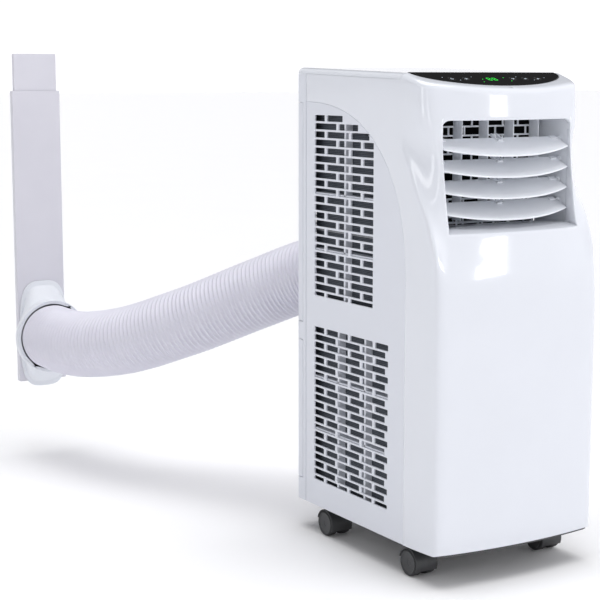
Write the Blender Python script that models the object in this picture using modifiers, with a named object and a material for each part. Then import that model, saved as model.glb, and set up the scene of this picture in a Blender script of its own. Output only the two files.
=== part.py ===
"""Portable air conditioner with its exhaust hose and window kit, in metres, +Z up.

The origin is on the floor under the middle of the cabinet. The front faces -Y and the hose leaves the back.
"""

import math

import bmesh
import bpy
from mathutils import Matrix, Vector

# Cabinet
WIDTH = 0.275
HEIGHT = 0.700
BACK = 0.189
UNDERSIDE = 0.045
TRAY_RIM = 0.056
TRAY_WALL = 0.0025
SCREW_PLACE = (0.0715, -0.160)
WALL = 0.003
GAP = 0.0003
REAR_SEAM = 0.157
BACK_CORNER = 0.014

SIDES = (("left", -1), ("right", 1))

# Slope of the top, and of the control panel in front of it, as (y, z)
TOP_BACK = (BACK + 0.02, 0.7006)
PANEL_BACK = (-0.088, 0.691)
PANEL_FRONT = (-0.142, 0.674)
PANEL_TILT = math.atan2(PANEL_BACK[1] - PANEL_FRONT[1], PANEL_BACK[0] - PANEL_FRONT[0])
TOP_COVER_EDGE = 0.009

# The plan of the cabinet at each height: z, y of the front's middle, y where the flat side ends,
# half width of the front face, and how far the front face bows out
PLAN = (
    (0.030, -0.189, -0.168, 0.120, 0.009),
    (0.340, -0.189, -0.168, 0.120, 0.009),
    (0.410, -0.186, -0.164, 0.116, 0.010),
    (0.460, -0.177, -0.154, 0.108, 0.012),
    (0.500, -0.170, -0.138, 0.098, 0.013),
    (0.540, -0.167, -0.116, 0.091, 0.013),
    (0.580, -0.164, -0.092, 0.086, 0.014),
    (0.620, -0.161, -0.070, 0.083, 0.014),
    (0.660, -0.158, -0.054, 0.081, 0.015),
    (0.720, -0.155, -0.044, 0.080, 0.016),
)

# Control fascia and its keys, on the control slope: x of each key, and how far they lie down the slope
FASCIA_HALF = 0.126
FASCIA_TIP = 0.003
FASCIA_DEPTH = 0.053
KEYS = {"power": -0.074, "mode": -0.050, "fan": 0.030, "down": 0.052, "up": 0.074}
KEY_LINE = -0.026
KEY_RADIUS = 0.0047

# Side panels: the seam is a quarter of a superellipse
SIDE_SEAM_TOP = 0.650
SIDE_SEAM_FRONT = -0.100
SIDE_SEAM_KNEE = 0.400
SIDE_SEAM_POWER = 2.4
SIDE_MIDDLE = 0.135
GRILLE_BACK = 0.133
GRILLES = ((0.360, 0.631, -0.021, 12), (0.080, 0.319, -0.060, 11))

# Rear filter frames: lowest z, highest z
FRAME_SEAM = 0.167
UPPER_FRAME = (0.322, 0.648)
LOWER_FRAME = (0.080, 0.293)
GLAND = (0.105, 0.069)
GLAND_RADIUS = 0.0070
OUTLET_ARCH = (0.084, 0.476)
OUTLET_RADIUS = 0.052

# Air outlet
VENT_HALF_WIDTH = 0.105
VENT_LOW = 0.480
VENT_HIGH = 0.631
VENT_CORNER = 0.012
DUCT_BACK = -0.070
DUCT_WALL = 0.0032
VANE_PIVOT_Y = -0.120
VANE_TOP_PIVOT = 0.601
VANE_PITCH = 0.0285
VANE_COUNT = 4
VANE_TILT = math.radians(27)
VANE_CHORD = 0.046
VANE_TIP_CHORD = 0.015
VANE_THICKNESS = 0.0022
LINK_ARM = 0.010
BLADE_PIVOT_Y = -0.0885
BLADE_CHORD = 0.020
BLADE_PITCH = 0.0446
BLADE_COUNT = 5
BLADE_LOW = 0.490
BLADE_HIGH = 0.628
TIE_ARM = 0.008

# Casters
CASTER_X = 0.112
CASTER_Y = (-0.112, 0.105)
CASTER_TRAIL = 0.010
WHEEL_RADIUS = 0.0188
WHEEL_SIDES = 24
WHEEL_WIDTH = 0.014
FORK_WIDTH = 0.008
STEM_RADIUS = 0.0043
AXLE_RADIUS = 0.0030

# Exhaust hose, window adapter and window panel
OUTLET_Z = 0.392
HOSE_DIAMETER = 0.116
COLLAR_DEPTH = 0.010
HOSE_ROUTE = (
    (0.000, 0.2000, 0.392),
    (0.000, 0.2200, 0.392),
    (-0.006, 0.2485, 0.388),
    (-0.016, 0.2790, 0.381),
    (-0.031, 0.3110, 0.371),
    (-0.051, 0.3440, 0.357),
    (-0.075, 0.3770, 0.340),
    (-0.102, 0.4110, 0.322),
    (-0.130, 0.4450, 0.303),
    (-0.159, 0.4800, 0.284),
    (-0.187, 0.5160, 0.267),
    (-0.213, 0.5550, 0.250),
    (-0.237, 0.5960, 0.236),
    (-0.257, 0.6400, 0.226),
    (-0.273, 0.6870, 0.219),
    (-0.284, 0.7350, 0.217),
    (-0.288, 0.7700, 0.218),
    (-0.288, 0.7975, 0.218),
)
ADAPTER_X = -0.288
ADAPTER_Z = 0.218
WINDOW_PLANE = 0.844
WINDOW_X = -0.290
OUTER_PANEL = (0.090, 0.131, 0.661)
INNER_PANEL = (0.080, 0.362, 0.727)
PANEL_WALL = 0.0018

# Inside
DECK_Z = 0.463
COOL_FAN = (0.040, 0.553)
HOT_FAN = (0.010, 0.350)
FAN_BLADES = 18
MOTOR_RADIUS = 0.033
COIL_Y = 0.130
COIL_HALF = 0.112


def start():
    """Empty the scene and return the two collections that the objects go in."""
    for obj in list(bpy.data.objects):
        bpy.data.objects.remove(obj)
    made = []
    for name in ("portable_air_conditioner", "cutters"):
        collection = bpy.data.collections.new(name)
        bpy.context.scene.collection.children.link(collection)
        made.append(collection)
    return made


PARTS, CUTTERS = start()


def plastic(name, red, green, blue, roughness=0.3, metallic=0.0):
    """A Principled material in linear colour."""
    material = bpy.data.materials.new(name)
    material.use_nodes = True
    shader = material.node_tree.nodes["Principled BSDF"]
    shader.inputs["Base Color"].default_value = (red, green, blue, 1)
    shader.inputs["Roughness"].default_value = roughness
    shader.inputs["Metallic"].default_value = metallic
    return material


WHITE = plastic("gloss_white_abs", 0.80, 0.82, 0.87, 0.12)
VANE_WHITE = plastic("satin_white_abs", 0.72, 0.75, 0.80, 0.35)
HOSE_WHITE = plastic("white_polypropylene", 0.66, 0.66, 0.74, 0.45)
DARK = plastic("dark_grey_nylon", 0.040, 0.040, 0.043, 0.5)
BLACK_GLOSS = plastic("black_gloss_acrylic", 0.004, 0.004, 0.005, 0.06)
BOARD_GREEN = plastic("circuit_board", 0.01, 0.09, 0.03, 0.5)
NET_GREY = plastic("filter_net", 0.07, 0.07, 0.075, 0.7)
STEEL = plastic("zinc_steel", 0.55, 0.56, 0.58, 0.35, 1.0)
BLACK_STEEL = plastic("black_painted_steel", 0.015, 0.015, 0.016, 0.4)
ALUMINIUM = plastic("aluminium_fins", 0.75, 0.76, 0.78, 0.4, 1.0)
COPPER = plastic("copper_tube", 0.80, 0.40, 0.25, 0.3, 1.0)
FOAM_GREY = plastic("grey_polystyrene", 0.35, 0.36, 0.38, 0.7)


def add_object(name, bm, material=None, origin=(0, 0, 0)):
    """Put a bmesh that is in world coordinates in an object whose origin is at the given point."""
    bmesh.ops.translate(bm, verts=bm.verts, vec=-Vector(origin))
    mesh = bpy.data.meshes.new(name)
    bm.to_mesh(mesh)
    bm.free()
    obj = bpy.data.objects.new(name, mesh)
    obj.location = origin
    if material is None:
        CUTTERS.objects.link(obj)
        obj.hide_render = True
        obj.display_type = "WIRE"
    else:
        PARTS.objects.link(obj)
        mesh.materials.append(material)
        mesh.shade_smooth()
        mesh.set_sharp_from_angle(angle=math.radians(35))
    return obj


def box(name, low, high, material=None, origin=(0, 0, 0)):
    """A box between two corners."""
    bm = bmesh.new()
    bmesh.ops.create_cube(bm, size=1)
    size = [b - a for a, b in zip(low, high)]
    middle = [(a + b) / 2 for a, b in zip(low, high)]
    bmesh.ops.scale(bm, vec=size, verts=bm.verts)
    bmesh.ops.translate(bm, vec=middle, verts=bm.verts)
    return add_object(name, bm, material, origin)


TURNS = {
    "X": Matrix.Rotation(math.pi / 2, 3, "Y"),
    "Y": Matrix.Rotation(-math.pi / 2, 3, "X"),
    "Z": Matrix.Identity(3),
}


def rod(name, radius, start_at, length, axis, material=None, sides=16, origin=(0, 0, 0)):
    """A cylinder from a point along +X, +Y or +Z, with a flat facet at its lowest side."""
    bm = bmesh.new()
    bmesh.ops.create_cone(bm, cap_ends=True, segments=sides, radius1=radius, radius2=radius, depth=length)
    bmesh.ops.rotate(bm, verts=bm.verts, matrix=Matrix.Rotation(math.pi / sides, 3, "Z"))
    bmesh.ops.translate(bm, vec=(0, 0, length / 2), verts=bm.verts)
    bmesh.ops.rotate(bm, verts=bm.verts, matrix=TURNS[axis])
    bmesh.ops.translate(bm, vec=start_at, verts=bm.verts)
    return add_object(name, bm, material, origin)


PLANES = {
    "XY": Matrix.Identity(4),
    "YZ": Matrix(((0, 0, 1, 0), (1, 0, 0, 0), (0, 1, 0, 0), (0, 0, 0, 1))),
    "XZ": Matrix(((1, 0, 0, 0), (0, 0, -1, 0), (0, 1, 0, 0), (0, 0, 0, 1))),
}


def mesh_from_curve(obj, material, origin):
    """Replace a curve object with a welded mesh object in the same place."""
    bpy.context.view_layer.update()
    graph = bpy.context.evaluated_depsgraph_get()
    mesh = bpy.data.meshes.new_from_object(obj.evaluated_get(graph))
    bm = bmesh.new()
    bm.from_mesh(mesh)
    bm.transform(obj.matrix_world)
    bmesh.ops.remove_doubles(bm, verts=bm.verts, dist=0.00001)
    bmesh.ops.recalc_face_normals(bm, faces=bm.faces)
    name = obj.name
    bpy.data.objects.remove(obj)
    bpy.data.meshes.remove(mesh)
    return add_object(name, bm, material, origin)


def plate(name, outlines, plane, level, thickness, material=None, origin=(0, 0, 0)):
    """A flat sheet: the first outline is its edge and the others are holes in it.

    The plane names the two axes of the outlines' points. The sheet's middle is at the given level on
    the third axis.
    """
    curve = bpy.data.curves.new(name, "CURVE")
    curve.dimensions = "2D"
    curve.fill_mode = "BOTH"
    curve.extrude = thickness / 2
    for outline in outlines:
        spline = curve.splines.new("POLY")
        spline.points.add(len(outline) - 1)
        for point, (u, v) in zip(spline.points, outline):
            point.co = (u, v, 0, 1)
        spline.use_cyclic_u = True
    obj = bpy.data.objects.new(name, curve)
    PARTS.objects.link(obj)
    sign = -1 if plane == "XZ" else 1
    obj.matrix_world = PLANES[plane] @ Matrix.Translation((0, 0, sign * level))
    return mesh_from_curve(obj, material, origin)


def tube(name, points, radius, material, resolution=2):
    """A solid round bar along a list of points, left as a curve."""
    curve = bpy.data.curves.new(name, "CURVE")
    curve.dimensions = "3D"
    curve.bevel_depth = radius
    curve.bevel_resolution = resolution
    curve.use_fill_caps = True
    spline = curve.splines.new("POLY")
    spline.points.add(len(points) - 1)
    for point, place in zip(spline.points, points):
        point.co = (*place, 1)
    curve.materials.append(material)
    obj = bpy.data.objects.new(name, curve)
    PARTS.objects.link(obj)
    return obj


def smooth_route(points, steps):
    """Points on a Catmull-Rom curve through the given ones."""
    places = [Vector(point) for point in points]
    places = [2 * places[0] - places[1], *places, 2 * places[-1] - places[-2]]
    made = []
    for i in range(1, len(places) - 2):
        before, here, there, after = places[i - 1 : i + 3]
        for step in range(steps):
            t = step / steps
            made.append(
                here
                + 0.5 * t * (there - before)
                + 0.5 * t**2 * (2 * before - 5 * here + 4 * there - after)
                + 0.5 * t**3 * (3 * here - before - 3 * there + after)
            )
    made.append(places[-2])
    return made


def turned(name, profile, steps, place, material):
    """A solid of revolution about Z from a profile of (radius, z) that runs from top to bottom."""
    mesh = bpy.data.meshes.new(name)
    points = [(radius, 0, z) for radius, z in profile]
    mesh.from_pydata(points, [(i, i + 1) for i in range(len(points) - 1)], [])
    mesh.materials.append(material)
    obj = bpy.data.objects.new(name, mesh)
    obj.location = place
    PARTS.objects.link(obj)
    screw = obj.modifiers.new("Screw", "SCREW")
    screw.steps = steps
    screw.render_steps = steps
    screw.use_merge_vertices = True
    screw.merge_threshold = 0.00001
    screw.use_smooth_shade = True
    return obj


def combine(obj, other, operation="DIFFERENCE"):
    """Cut, join or intersect an object with another one, which then counts as a cutter."""
    if other.name in PARTS.objects:
        PARTS.objects.unlink(other)
        CUTTERS.objects.link(other)
        other.hide_render = True
        other.display_type = "WIRE"
    modifier = obj.modifiers.new(operation.title(), "BOOLEAN")
    modifier.operation = operation
    modifier.object = other
    return obj


def bake(obj):
    """Replace an object's mesh with its result, and drop the modifiers."""
    bpy.context.view_layer.update()
    graph = bpy.context.evaluated_depsgraph_get()
    mesh = bpy.data.meshes.new_from_object(obj.evaluated_get(graph))
    obj.modifiers.clear()
    obj.data = mesh
    return obj


def bmesh_of(obj):
    """A bmesh copy of an object's mesh."""
    bm = bmesh.new()
    bm.from_mesh(obj.data)
    return bm


def copy_of(obj, name, material):
    """A part that starts as a copy of a solid."""
    made = add_object(name, bmesh_of(obj), material)
    made.data.materials.clear()
    made.data.materials.append(material)
    return made


def arc(cx, cy, rx, ry, first, last, steps):
    """Points on an elliptical arc, with angles in degrees."""
    made = []
    for i in range(steps + 1):
        angle = math.radians(first + (last - first) * i / steps)
        made.append((cx + rx * math.cos(angle), cy + ry * math.sin(angle)))
    return made


def rounded(low_u, high_u, low_v, high_v, radius, steps=4):
    """The outline of a rectangle with round corners, anticlockwise."""
    corners = (
        (high_u - radius, low_v + radius, -90),
        (high_u - radius, high_v - radius, 0),
        (low_u + radius, high_v - radius, 90),
        (low_u + radius, low_v + radius, 180),
    )
    made = []
    for u, v, first in corners:
        made += arc(u, v, radius, radius, first, first + 90, steps)
    return made


def rectangle(low_u, high_u, low_v, high_v):
    """The outline of a rectangle."""
    return [(low_u, low_v), (high_u, low_v), (high_u, high_v), (low_u, high_v)]


def skin(rings, closed_ends=True):
    """A bmesh lofted through rings of equally many points."""
    bm = bmesh.new()
    loops = [[bm.verts.new(point) for point in ring] for ring in rings]
    for low, high in zip(loops, loops[1:]):
        for i in range(len(low)):
            j = (i + 1) % len(low)
            bm.faces.new((low[i], low[j], high[j], high[i]))
    if closed_ends:
        bm.faces.new(loops[0])
        bm.faces.new(loops[-1])
    bmesh.ops.recalc_face_normals(bm, faces=bm.faces)
    return bm


# ---------------------------------------------------------------- cabinet shells


def plan_outline(front, side, half_front, bow, inset):
    """The cabinet's plan at one height: (x, y) from the front's middle round to the back and home."""
    half_width = WIDTH / 2 - inset
    front += inset
    side += inset / 2
    half_front -= inset / 2
    edge = front + bow
    half = [(half_front * t, front + bow * t * t) for t in (0, 0.35, 0.7)]
    half += arc(half_front, side, half_width - half_front, edge - side, 90, 0, 6)
    corner = BACK_CORNER - inset
    half += arc(half_width - corner, BACK - inset - corner, corner, corner, 0, 90, 3)
    return half + [(-x, y) for x, y in reversed(half[1:])]


def column(name, inset):
    """The upright form of the cabinet before its top is cut, shrunk by an inset."""
    rings = [[(x, y, z) for x, y in plan_outline(*values, inset)] for z, *values in PLAN]
    return add_object(name, skin(rings))


def top_profile(inset):
    """The side view that the column is trimmed to: the sloped top, the control slope and the front edge."""
    brow = (PANEL_FRONT[0] - 0.0125, PANEL_FRONT[1] - 0.0065)
    points = [(0.30, 0.0), (0.30, TOP_BACK[1] + 0.003), TOP_BACK, PANEL_BACK, PANEL_FRONT]
    points += [brow, (brow[0] - 0.006, brow[1] - 0.0055), (brow[0] - 0.0085, brow[1] - 0.013)]
    points += [(-0.172, 0.60), (-0.196, 0.42), (-0.23, 0.36), (-0.23, 0.0)]
    return [(y, z - inset if z > 0.65 else z) for y, z in points]


def end_profile(inset):
    """The front view that the column is trimmed to, with rounded top edges."""
    half = WIDTH / 2 + 0.001
    low = HEIGHT - inset - 0.009
    right = [(half, low - 0.006), (half - 0.003, low + 0.001)]
    right += [(half - 0.008, low + 0.006), (half - 0.016, HEIGHT + 0.02)]
    left = [(-x, z) for x, z in reversed(right)]
    return [(-half, 0), (half, 0), *right, *left]


def tilted_end_cutter(name, inset):
    """The front view extruded along the cabinet, tilted to follow the slope of the top."""
    cutter = plate(name, [end_profile(inset)], "XZ", 0, 0.8)
    slope = math.atan2(TOP_BACK[1] - PANEL_BACK[1], TOP_BACK[0] - PANEL_BACK[0])
    turn = Matrix.Translation((0, BACK, HEIGHT)) @ Matrix.Rotation(slope, 4, "X")
    cutter.data.transform(turn @ Matrix.Translation((0, -BACK, -HEIGHT)))
    return cutter


def cabinet_form(name, inset):
    """The cabinet as a solid, shrunk by an inset, and open below if it is inset."""
    form = column(name + "_column", inset)
    combine(form, plate(name + "_profile", [top_profile(inset)], "YZ", 0, 0.4), "INTERSECT")
    combine(form, tilted_end_cutter(name + "_ends", inset), "INTERSECT")
    if not inset:
        combine(form, box(name + "_foot", (-0.2, -0.3, 0), (0.2, 0.3, UNDERSIDE)))
    return bake(form)


OUTER = cabinet_form("outer", 0)
INNER = cabinet_form("inner", WALL)
INNER_CLEAR = cabinet_form("inner_clear", WALL + 0.0006)


def shell():
    """The whole skin of the cabinet as one hollow form."""
    skin_form = add_object("skin", bmesh_of(OUTER))
    combine(skin_form, INNER)
    return bake(skin_form)


SHELL = shell()


def side_seam(grow):
    """The outline of a side panel in side view, grown by a margin."""
    back = REAR_SEAM + grow
    front = SIDE_SEAM_FRONT - grow
    top = SIDE_SEAM_TOP + grow
    points = [(back, 0.0), (back, top)]
    for i in range(1, 13):
        share = math.sin(i / 12 * math.pi / 2)
        rise = (1 - share**SIDE_SEAM_POWER) ** (1 / SIDE_SEAM_POWER)
        points.append((back + (front - back) * share, SIDE_SEAM_KNEE + (top - SIDE_SEAM_KNEE) * rise))
    return [*points, (front, 0.0)]


def top_seam(grow):
    """The outline of the top cover in side view, grown by a margin."""
    slope = math.tan(math.atan2(TOP_BACK[1] - PANEL_BACK[1], TOP_BACK[0] - PANEL_BACK[0]))
    front = PANEL_BACK[0] + 0.004 - grow
    depth = TOP_COVER_EDGE + grow
    low = PANEL_BACK[1] - depth
    rise = slope * (0.25 - PANEL_BACK[0])
    return [(front, low), (0.25, low + rise), (0.25, 0.75), (front, 0.75)]


def slots(low, high, front, rows):
    """Rows of long slots for a side grille, as outlines in side view."""
    pitch = (high - low) / rows
    made = []
    for i in range(rows):
        bottom = low + pitch * (i + 0.12)
        top = low + pitch * (i + 0.88)
        limit = front
        if top > 0.59:
            limit = front + (top - 0.585) * 1.9
        made.append(rectangle(limit, GRILLE_BACK, bottom, top))
    return made


def side_panels():
    """The two grilled side panels."""
    for side, sign in SIDES:
        panel = copy_of(SHELL, "side_panel_" + side, WHITE)
        region = plate("side_region_" + side, [side_seam(-GAP)], "YZ", sign * SIDE_MIDDLE, 0.012)
        combine(panel, region, "INTERSECT")
        for number, (low, high, front, rows) in enumerate(GRILLES):
            for row, outline in enumerate(slots(low, high, front, rows)):
                name = f"slot_{side}_{number}_{row}"
                combine(panel, plate(name, [outline], "YZ", sign * SIDE_MIDDLE, 0.02))
        bake(panel)


def rear_region(name, seam, grow=0.0):
    """A block that covers the cabinet behind a seam, with the height of the top cover's edge cut off."""
    region = box(name, (-0.2, seam - grow, 0), (0.2, 0.3, 0.8))
    return combine(region, plate(name + "_top", [top_seam(GAP - grow)], "YZ", 0, 0.5))


def frame_region(name, low, high, grow, arch):
    """A block that covers a filter frame, with an arch left out for the hose outlet."""
    region = box(name, (-0.2, FRAME_SEAM - grow, low - grow), (0.2, 0.3, high + grow))
    if arch:
        half, top = (size - grow for size in OUTLET_ARCH)
        combine(region, box(name + "_arch", (-half, 0.1, low - 0.01), (half, 0.4, top)))
        bake(region)
    return region


def rear_panel():
    """The back of the cabinet, which wraps round both rear corners."""
    panel = copy_of(SHELL, "rear_panel", WHITE)
    combine(panel, rear_region("rear_region", REAR_SEAM), "INTERSECT")
    combine(panel, frame_region("upper_window", *UPPER_FRAME, GAP, True))
    combine(panel, frame_region("lower_window", *LOWER_FRAME, GAP, False))
    outlet = (0, 0.15, OUTLET_Z)
    combine(panel, rod("outlet_hole", OUTLET_RADIUS, outlet, 0.08, "Y", sides=24))
    gland = (GLAND[0], 0.15, GLAND[1])
    combine(panel, rod("gland_hole", GLAND_RADIUS + 0.0005, gland, 0.08, "Y", sides=12))
    bake(panel)


def filter_frames():
    """The two grilled frames that pull off the back, and the dust net in each."""
    frames = (("upper", UPPER_FRAME, True), ("lower", LOWER_FRAME, False))
    for name, (low, high), arch in frames:
        frame = copy_of(SHELL, "filter_frame_" + name, WHITE)
        combine(frame, frame_region("frame_region_" + name, low, high, 0.0, arch), "INTERSECT")
        first = 0.490 if arch else low + 0.018
        rows = 7 if arch else 9
        pitch = (high - 0.014 - first) / rows
        for row in range(rows):
            bottom = first + pitch * row
            slot = rectangle(-0.108, 0.108, bottom, bottom + pitch * 0.7)
            combine(frame, plate(f"louvre_{name}_{row}", [slot], "XZ", BACK, 0.03))
        bake(frame)
        net = rectangle(-0.115, 0.115, first - 0.006, high - 0.006)
        plate("filter_net_" + name, [net], "XZ", BACK - WALL - 0.0012, 0.0012, NET_GREY)


def vent_outline(grow=0.0):
    """The air outlet in front view."""
    half = VENT_HALF_WIDTH + grow
    return rounded(-half, half, VENT_LOW - grow, VENT_HIGH + grow, VENT_CORNER, 3)


def fascia_outline(grow=0.0):
    """The control fascia's crescent on its slope, from its straight rear edge: (x, distance down)."""
    half = FASCIA_HALF + grow
    points = [(half, grow), (-half, grow)]
    for i in range(-10, 11):
        x = math.sin(i / 10 * math.pi / 2)
        points.append((half * x, -FASCIA_TIP - grow - FASCIA_DEPTH * (1 - x * x) ** 0.6))
    return points


def on_control_slope(obj):
    """Move a solid made flat at the origin to the control slope, whose rear edge is its X axis."""
    place = Matrix.Translation((0, *PANEL_BACK)) @ Matrix.Rotation(PANEL_TILT, 4, "X")
    obj.data.transform(place)
    return obj


def front_shell():
    """The front of the cabinet with its brow, shoulders and the arms above the side panels."""
    front = copy_of(SHELL, "front_shell", WHITE)
    for side, sign in SIDES:
        region = plate("side_clear_" + side, [side_seam(0)], "YZ", sign * SIDE_MIDDLE, 0.014)
        combine(front, region)
    combine(front, rear_region("rear_clear", REAR_SEAM, GAP))
    combine(front, plate("top_clear", [top_seam(GAP)], "YZ", 0, 0.5))
    combine(front, plate("vent_cutter", [vent_outline()], "XZ", -0.15, 0.12))
    window = plate("fascia_cutter", [fascia_outline(0.0006)], "XY", 0, 0.03)
    combine(front, on_control_slope(window))
    bake(front)


def top_cover():
    """The lid with its rounded side edges."""
    cover = copy_of(SHELL, "top_cover", WHITE)
    combine(cover, plate("top_region", [top_seam(0)], "YZ", 0, 0.5), "INTERSECT")
    bake(cover)


def pan_ring(inset, z):
    """The plan of the base tray at a height."""
    return [(x, y, z) for x, y in plan_outline(*PLAN[0][1:], inset)]


def base_tray():
    """The dark tray that carries the machine, with four caster sockets."""
    inset = WALL + 0.0006
    inner = inset + TRAY_WALL
    low = UNDERSIDE + 0.0008
    tray = add_object("base_tray", skin([pan_ring(inset, low), pan_ring(inset, TRAY_RIM)]), DARK)
    hollow = skin([pan_ring(inner, low + TRAY_WALL), pan_ring(inner, 0.09)])
    combine(tray, add_object("tray_hollow", hollow))
    for name, x, y in caster_places():
        combine(tray, rod("socket_" + name, 0.0085, (x, y, low + 0.001), 0.016, "Z"), "UNION")
        combine(tray, rod("bore_" + name, STEM_RADIUS + 0.0005, (x, y, 0.03), 0.05, "Z", sides=12))
    for side, sign in SIDES:
        hole = (sign * SCREW_PLACE[0], SCREW_PLACE[1], 0.03)
        combine(tray, rod("screw_hole_" + side, 0.0028, hole, 0.03, "Z", sides=8))
    bake(tray)


def panel_screws():
    """The two round-headed screws that hold the front shell to the tray from below."""
    for side, sign in SIDES:
        place = (sign * SCREW_PLACE[0], SCREW_PLACE[1])
        screw = rod("front_screw_" + side, 0.0068, (*place, 0.0395), 0.006, "Z", WHITE, 12)
        combine(screw, rod("shank_" + side, 0.0024, (*place, 0.043), 0.014, "Z", sides=8), "UNION")
        bake(screw)


# ---------------------------------------------------------------- controls


def controls():
    """The black fascia, its five soft keys and the board with the display under them."""
    fascia = plate("control_fascia", [fascia_outline()], "XY", -0.00125, 0.0025, BLACK_GLOSS)
    for name, x in KEYS.items():
        hole = rod("key_hole_" + name, KEY_RADIUS + GAP, (x, KEY_LINE, -0.01), 0.02, "Z", sides=16)
        combine(fascia, hole)
    bake(fascia)
    on_control_slope(fascia)
    for name, x in KEYS.items():
        key = rod("key_" + name, KEY_RADIUS, (x, KEY_LINE, -0.0030), 0.0030, "Z", BLACK_GLOSS, 16)
        on_control_slope(key)
        origin = key.data.vertices[0].co.copy()
        key.data.transform(Matrix.Translation(-origin))
        key.location = origin
    outline = rectangle(-0.092, 0.092, -0.044, -0.008)
    board = plate("control_board", [outline], "XY", -0.0078, 0.0016, BOARD_GREEN)
    display = box("display_block", (-0.014, -0.036, -0.0075), (0.014, -0.016, -0.0028))
    combine(board, display, "UNION")
    on_control_slope(bake(board))


# ---------------------------------------------------------------- air outlet


def outlet_duct():
    """The square duct behind the air outlet, cut at the front to the curve of the shell."""
    half = VENT_HALF_WIDTH + GAP
    inside = rectangle(-half, half, VENT_LOW, VENT_HIGH)
    half = VENT_HALF_WIDTH + GAP + DUCT_WALL
    outside = rectangle(-half, half, VENT_LOW - WALL, VENT_HIGH + WALL)
    outer = plate("outlet_duct", [outside], "XZ", DUCT_BACK - 0.065, 0.13, WHITE)
    combine(outer, plate("duct_bore", [inside], "XZ", DUCT_BACK - 0.065, 0.2))
    for i in range(VANE_COUNT):
        place = (-0.12, VANE_PIVOT_Y, vane_height(i))
        combine(outer, rod(f"vane_hole_{i}", 0.0022, place, 0.24, "X", sides=8))
    for i in range(BLADE_COUNT):
        place = (blade_x(i), BLADE_PIVOT_Y, 0.45)
        combine(outer, rod(f"blade_hole_{i}", 0.0018, place, 0.2, "Z", sides=8))
    combine(outer, INNER_CLEAR, "INTERSECT")
    bake(outer)


def outlet_guard():
    """The finger guard across the back of the duct."""
    half = VENT_HALF_WIDTH - 0.0006
    low = VENT_LOW + 0.0006
    high = VENT_HIGH - 0.0006
    outlines = [rectangle(-half, half, low, high)]
    rows = 12
    pitch = (high - low) / rows
    for i in range(rows):
        bottom = low + pitch * i + 0.0016
        top = bottom + pitch - 0.0028
        for start_x, end_x in ((-half + 0.003, -0.0015), (0.0015, half - 0.003)):
            outlines.append(rectangle(start_x, end_x, bottom, top))
    plate("outlet_guard", outlines, "XZ", -0.0730, 0.0020, VANE_WHITE)


def vane_height(i):
    """The height of a vane's pivot, counted from the top."""
    return VANE_TOP_PIVOT - VANE_PITCH * i


def vanes():
    """The four bowed louvre vanes and the upright bar that links them."""
    half = VENT_HALF_WIDTH - 0.0015
    outline = []
    for i in range(-8, 9):
        x = i / 8
        chord = VANE_TIP_CHORD + (VANE_CHORD - VANE_TIP_CHORD) * (1 - abs(x) ** 2.2)
        outline.append((half * x, -chord))
    outline += [(half, 0.004), (-half, 0.004)]
    for i in range(VANE_COUNT):
        name = f"vane_{i + 1}"
        vane = plate(name, [outline], "XY", 0, VANE_THICKNESS, VANE_WHITE)
        reach = half + 0.0035
        combine(vane, rod(name + "_pin", 0.0018, (-reach, 0, 0), 2 * reach, "X", sides=8), "UNION")
        lug = box(name + "_lug", (0.0022, -0.002, -0.001), (0.0042, LINK_ARM + 0.002, 0.003))
        combine(vane, lug, "UNION")
        pin = rod(name + "_link_pin", 0.0012, (-0.0022, LINK_ARM, 0), 0.0054, "X", sides=8)
        combine(vane, pin, "UNION")
        bake(vane)
        vane.location = (0, VANE_PIVOT_Y, vane_height(i))
        vane.rotation_euler = (VANE_TILT, 0, 0)
    y = VANE_PIVOT_Y + LINK_ARM * math.cos(VANE_TILT)
    rise = LINK_ARM * math.sin(VANE_TILT)
    low = (-0.0018, y - 0.0028, vane_height(VANE_COUNT - 1) + rise - 0.005)
    high = (0.0012, y + 0.0028, vane_height(0) + rise + 0.005)
    bar = box("vane_link_bar", low, high, VANE_WHITE, (0, y, vane_height(1) + rise))
    for i in range(VANE_COUNT):
        combine(bar, rod(f"bar_hole_{i}", 0.0017, (-0.01, y, vane_height(i) + rise), 0.02, "X", sides=8))
    bake(bar)


def blade_x(i):
    """The x of a deflector blade's pivot."""
    return BLADE_PITCH * (i - (BLADE_COUNT - 1) / 2)


def blades():
    """The five upright deflector blades and the bar that ties them."""
    y = BLADE_PIVOT_Y
    half = BLADE_CHORD / 2
    for i in range(BLADE_COUNT):
        x = blade_x(i)
        name = f"blade_{i + 1}"
        corners = ((x - 0.0008, y - half, BLADE_LOW), (x + 0.0008, y + half, BLADE_HIGH))
        blade = box(name, *corners, VANE_WHITE, (x, y, (BLADE_LOW + BLADE_HIGH) / 2))
        pins = (
            ("foot", 0.0014, (x, y, VENT_LOW - 0.002), 0.0125),
            ("head", 0.0014, (x, y, BLADE_HIGH - 0.002), 0.0065),
            ("tie", 0.0010, (x, y + TIE_ARM, BLADE_LOW - 0.0065), 0.008),
        )
        for end, radius, place, length in pins:
            combine(blade, rod(f"{name}_{end}_pin", radius, place, length, "Z", sides=8), "UNION")
        bake(blade)
    y += TIE_ARM
    reach = BLADE_PITCH * 2 + 0.0043
    corners = ((-reach, y - 0.0022, 0.4845), (reach, y + 0.0022, 0.4875))
    bar = box("blade_tie_bar", *corners, VANE_WHITE, (0, y, 0.486))
    for i in range(BLADE_COUNT):
        combine(bar, rod(f"tie_hole_{i}", 0.0014, (blade_x(i), y, 0.47), 0.03, "Z", sides=8))
    bake(bar)


# ---------------------------------------------------------------- casters


def caster_places():
    """Name and stem position of each caster."""
    rows = (("front", CASTER_Y[0]), ("rear", CASTER_Y[1]))
    return [(f"{row}_{side}", sign * CASTER_X, y) for row, y in rows for side, sign in SIDES]


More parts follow.
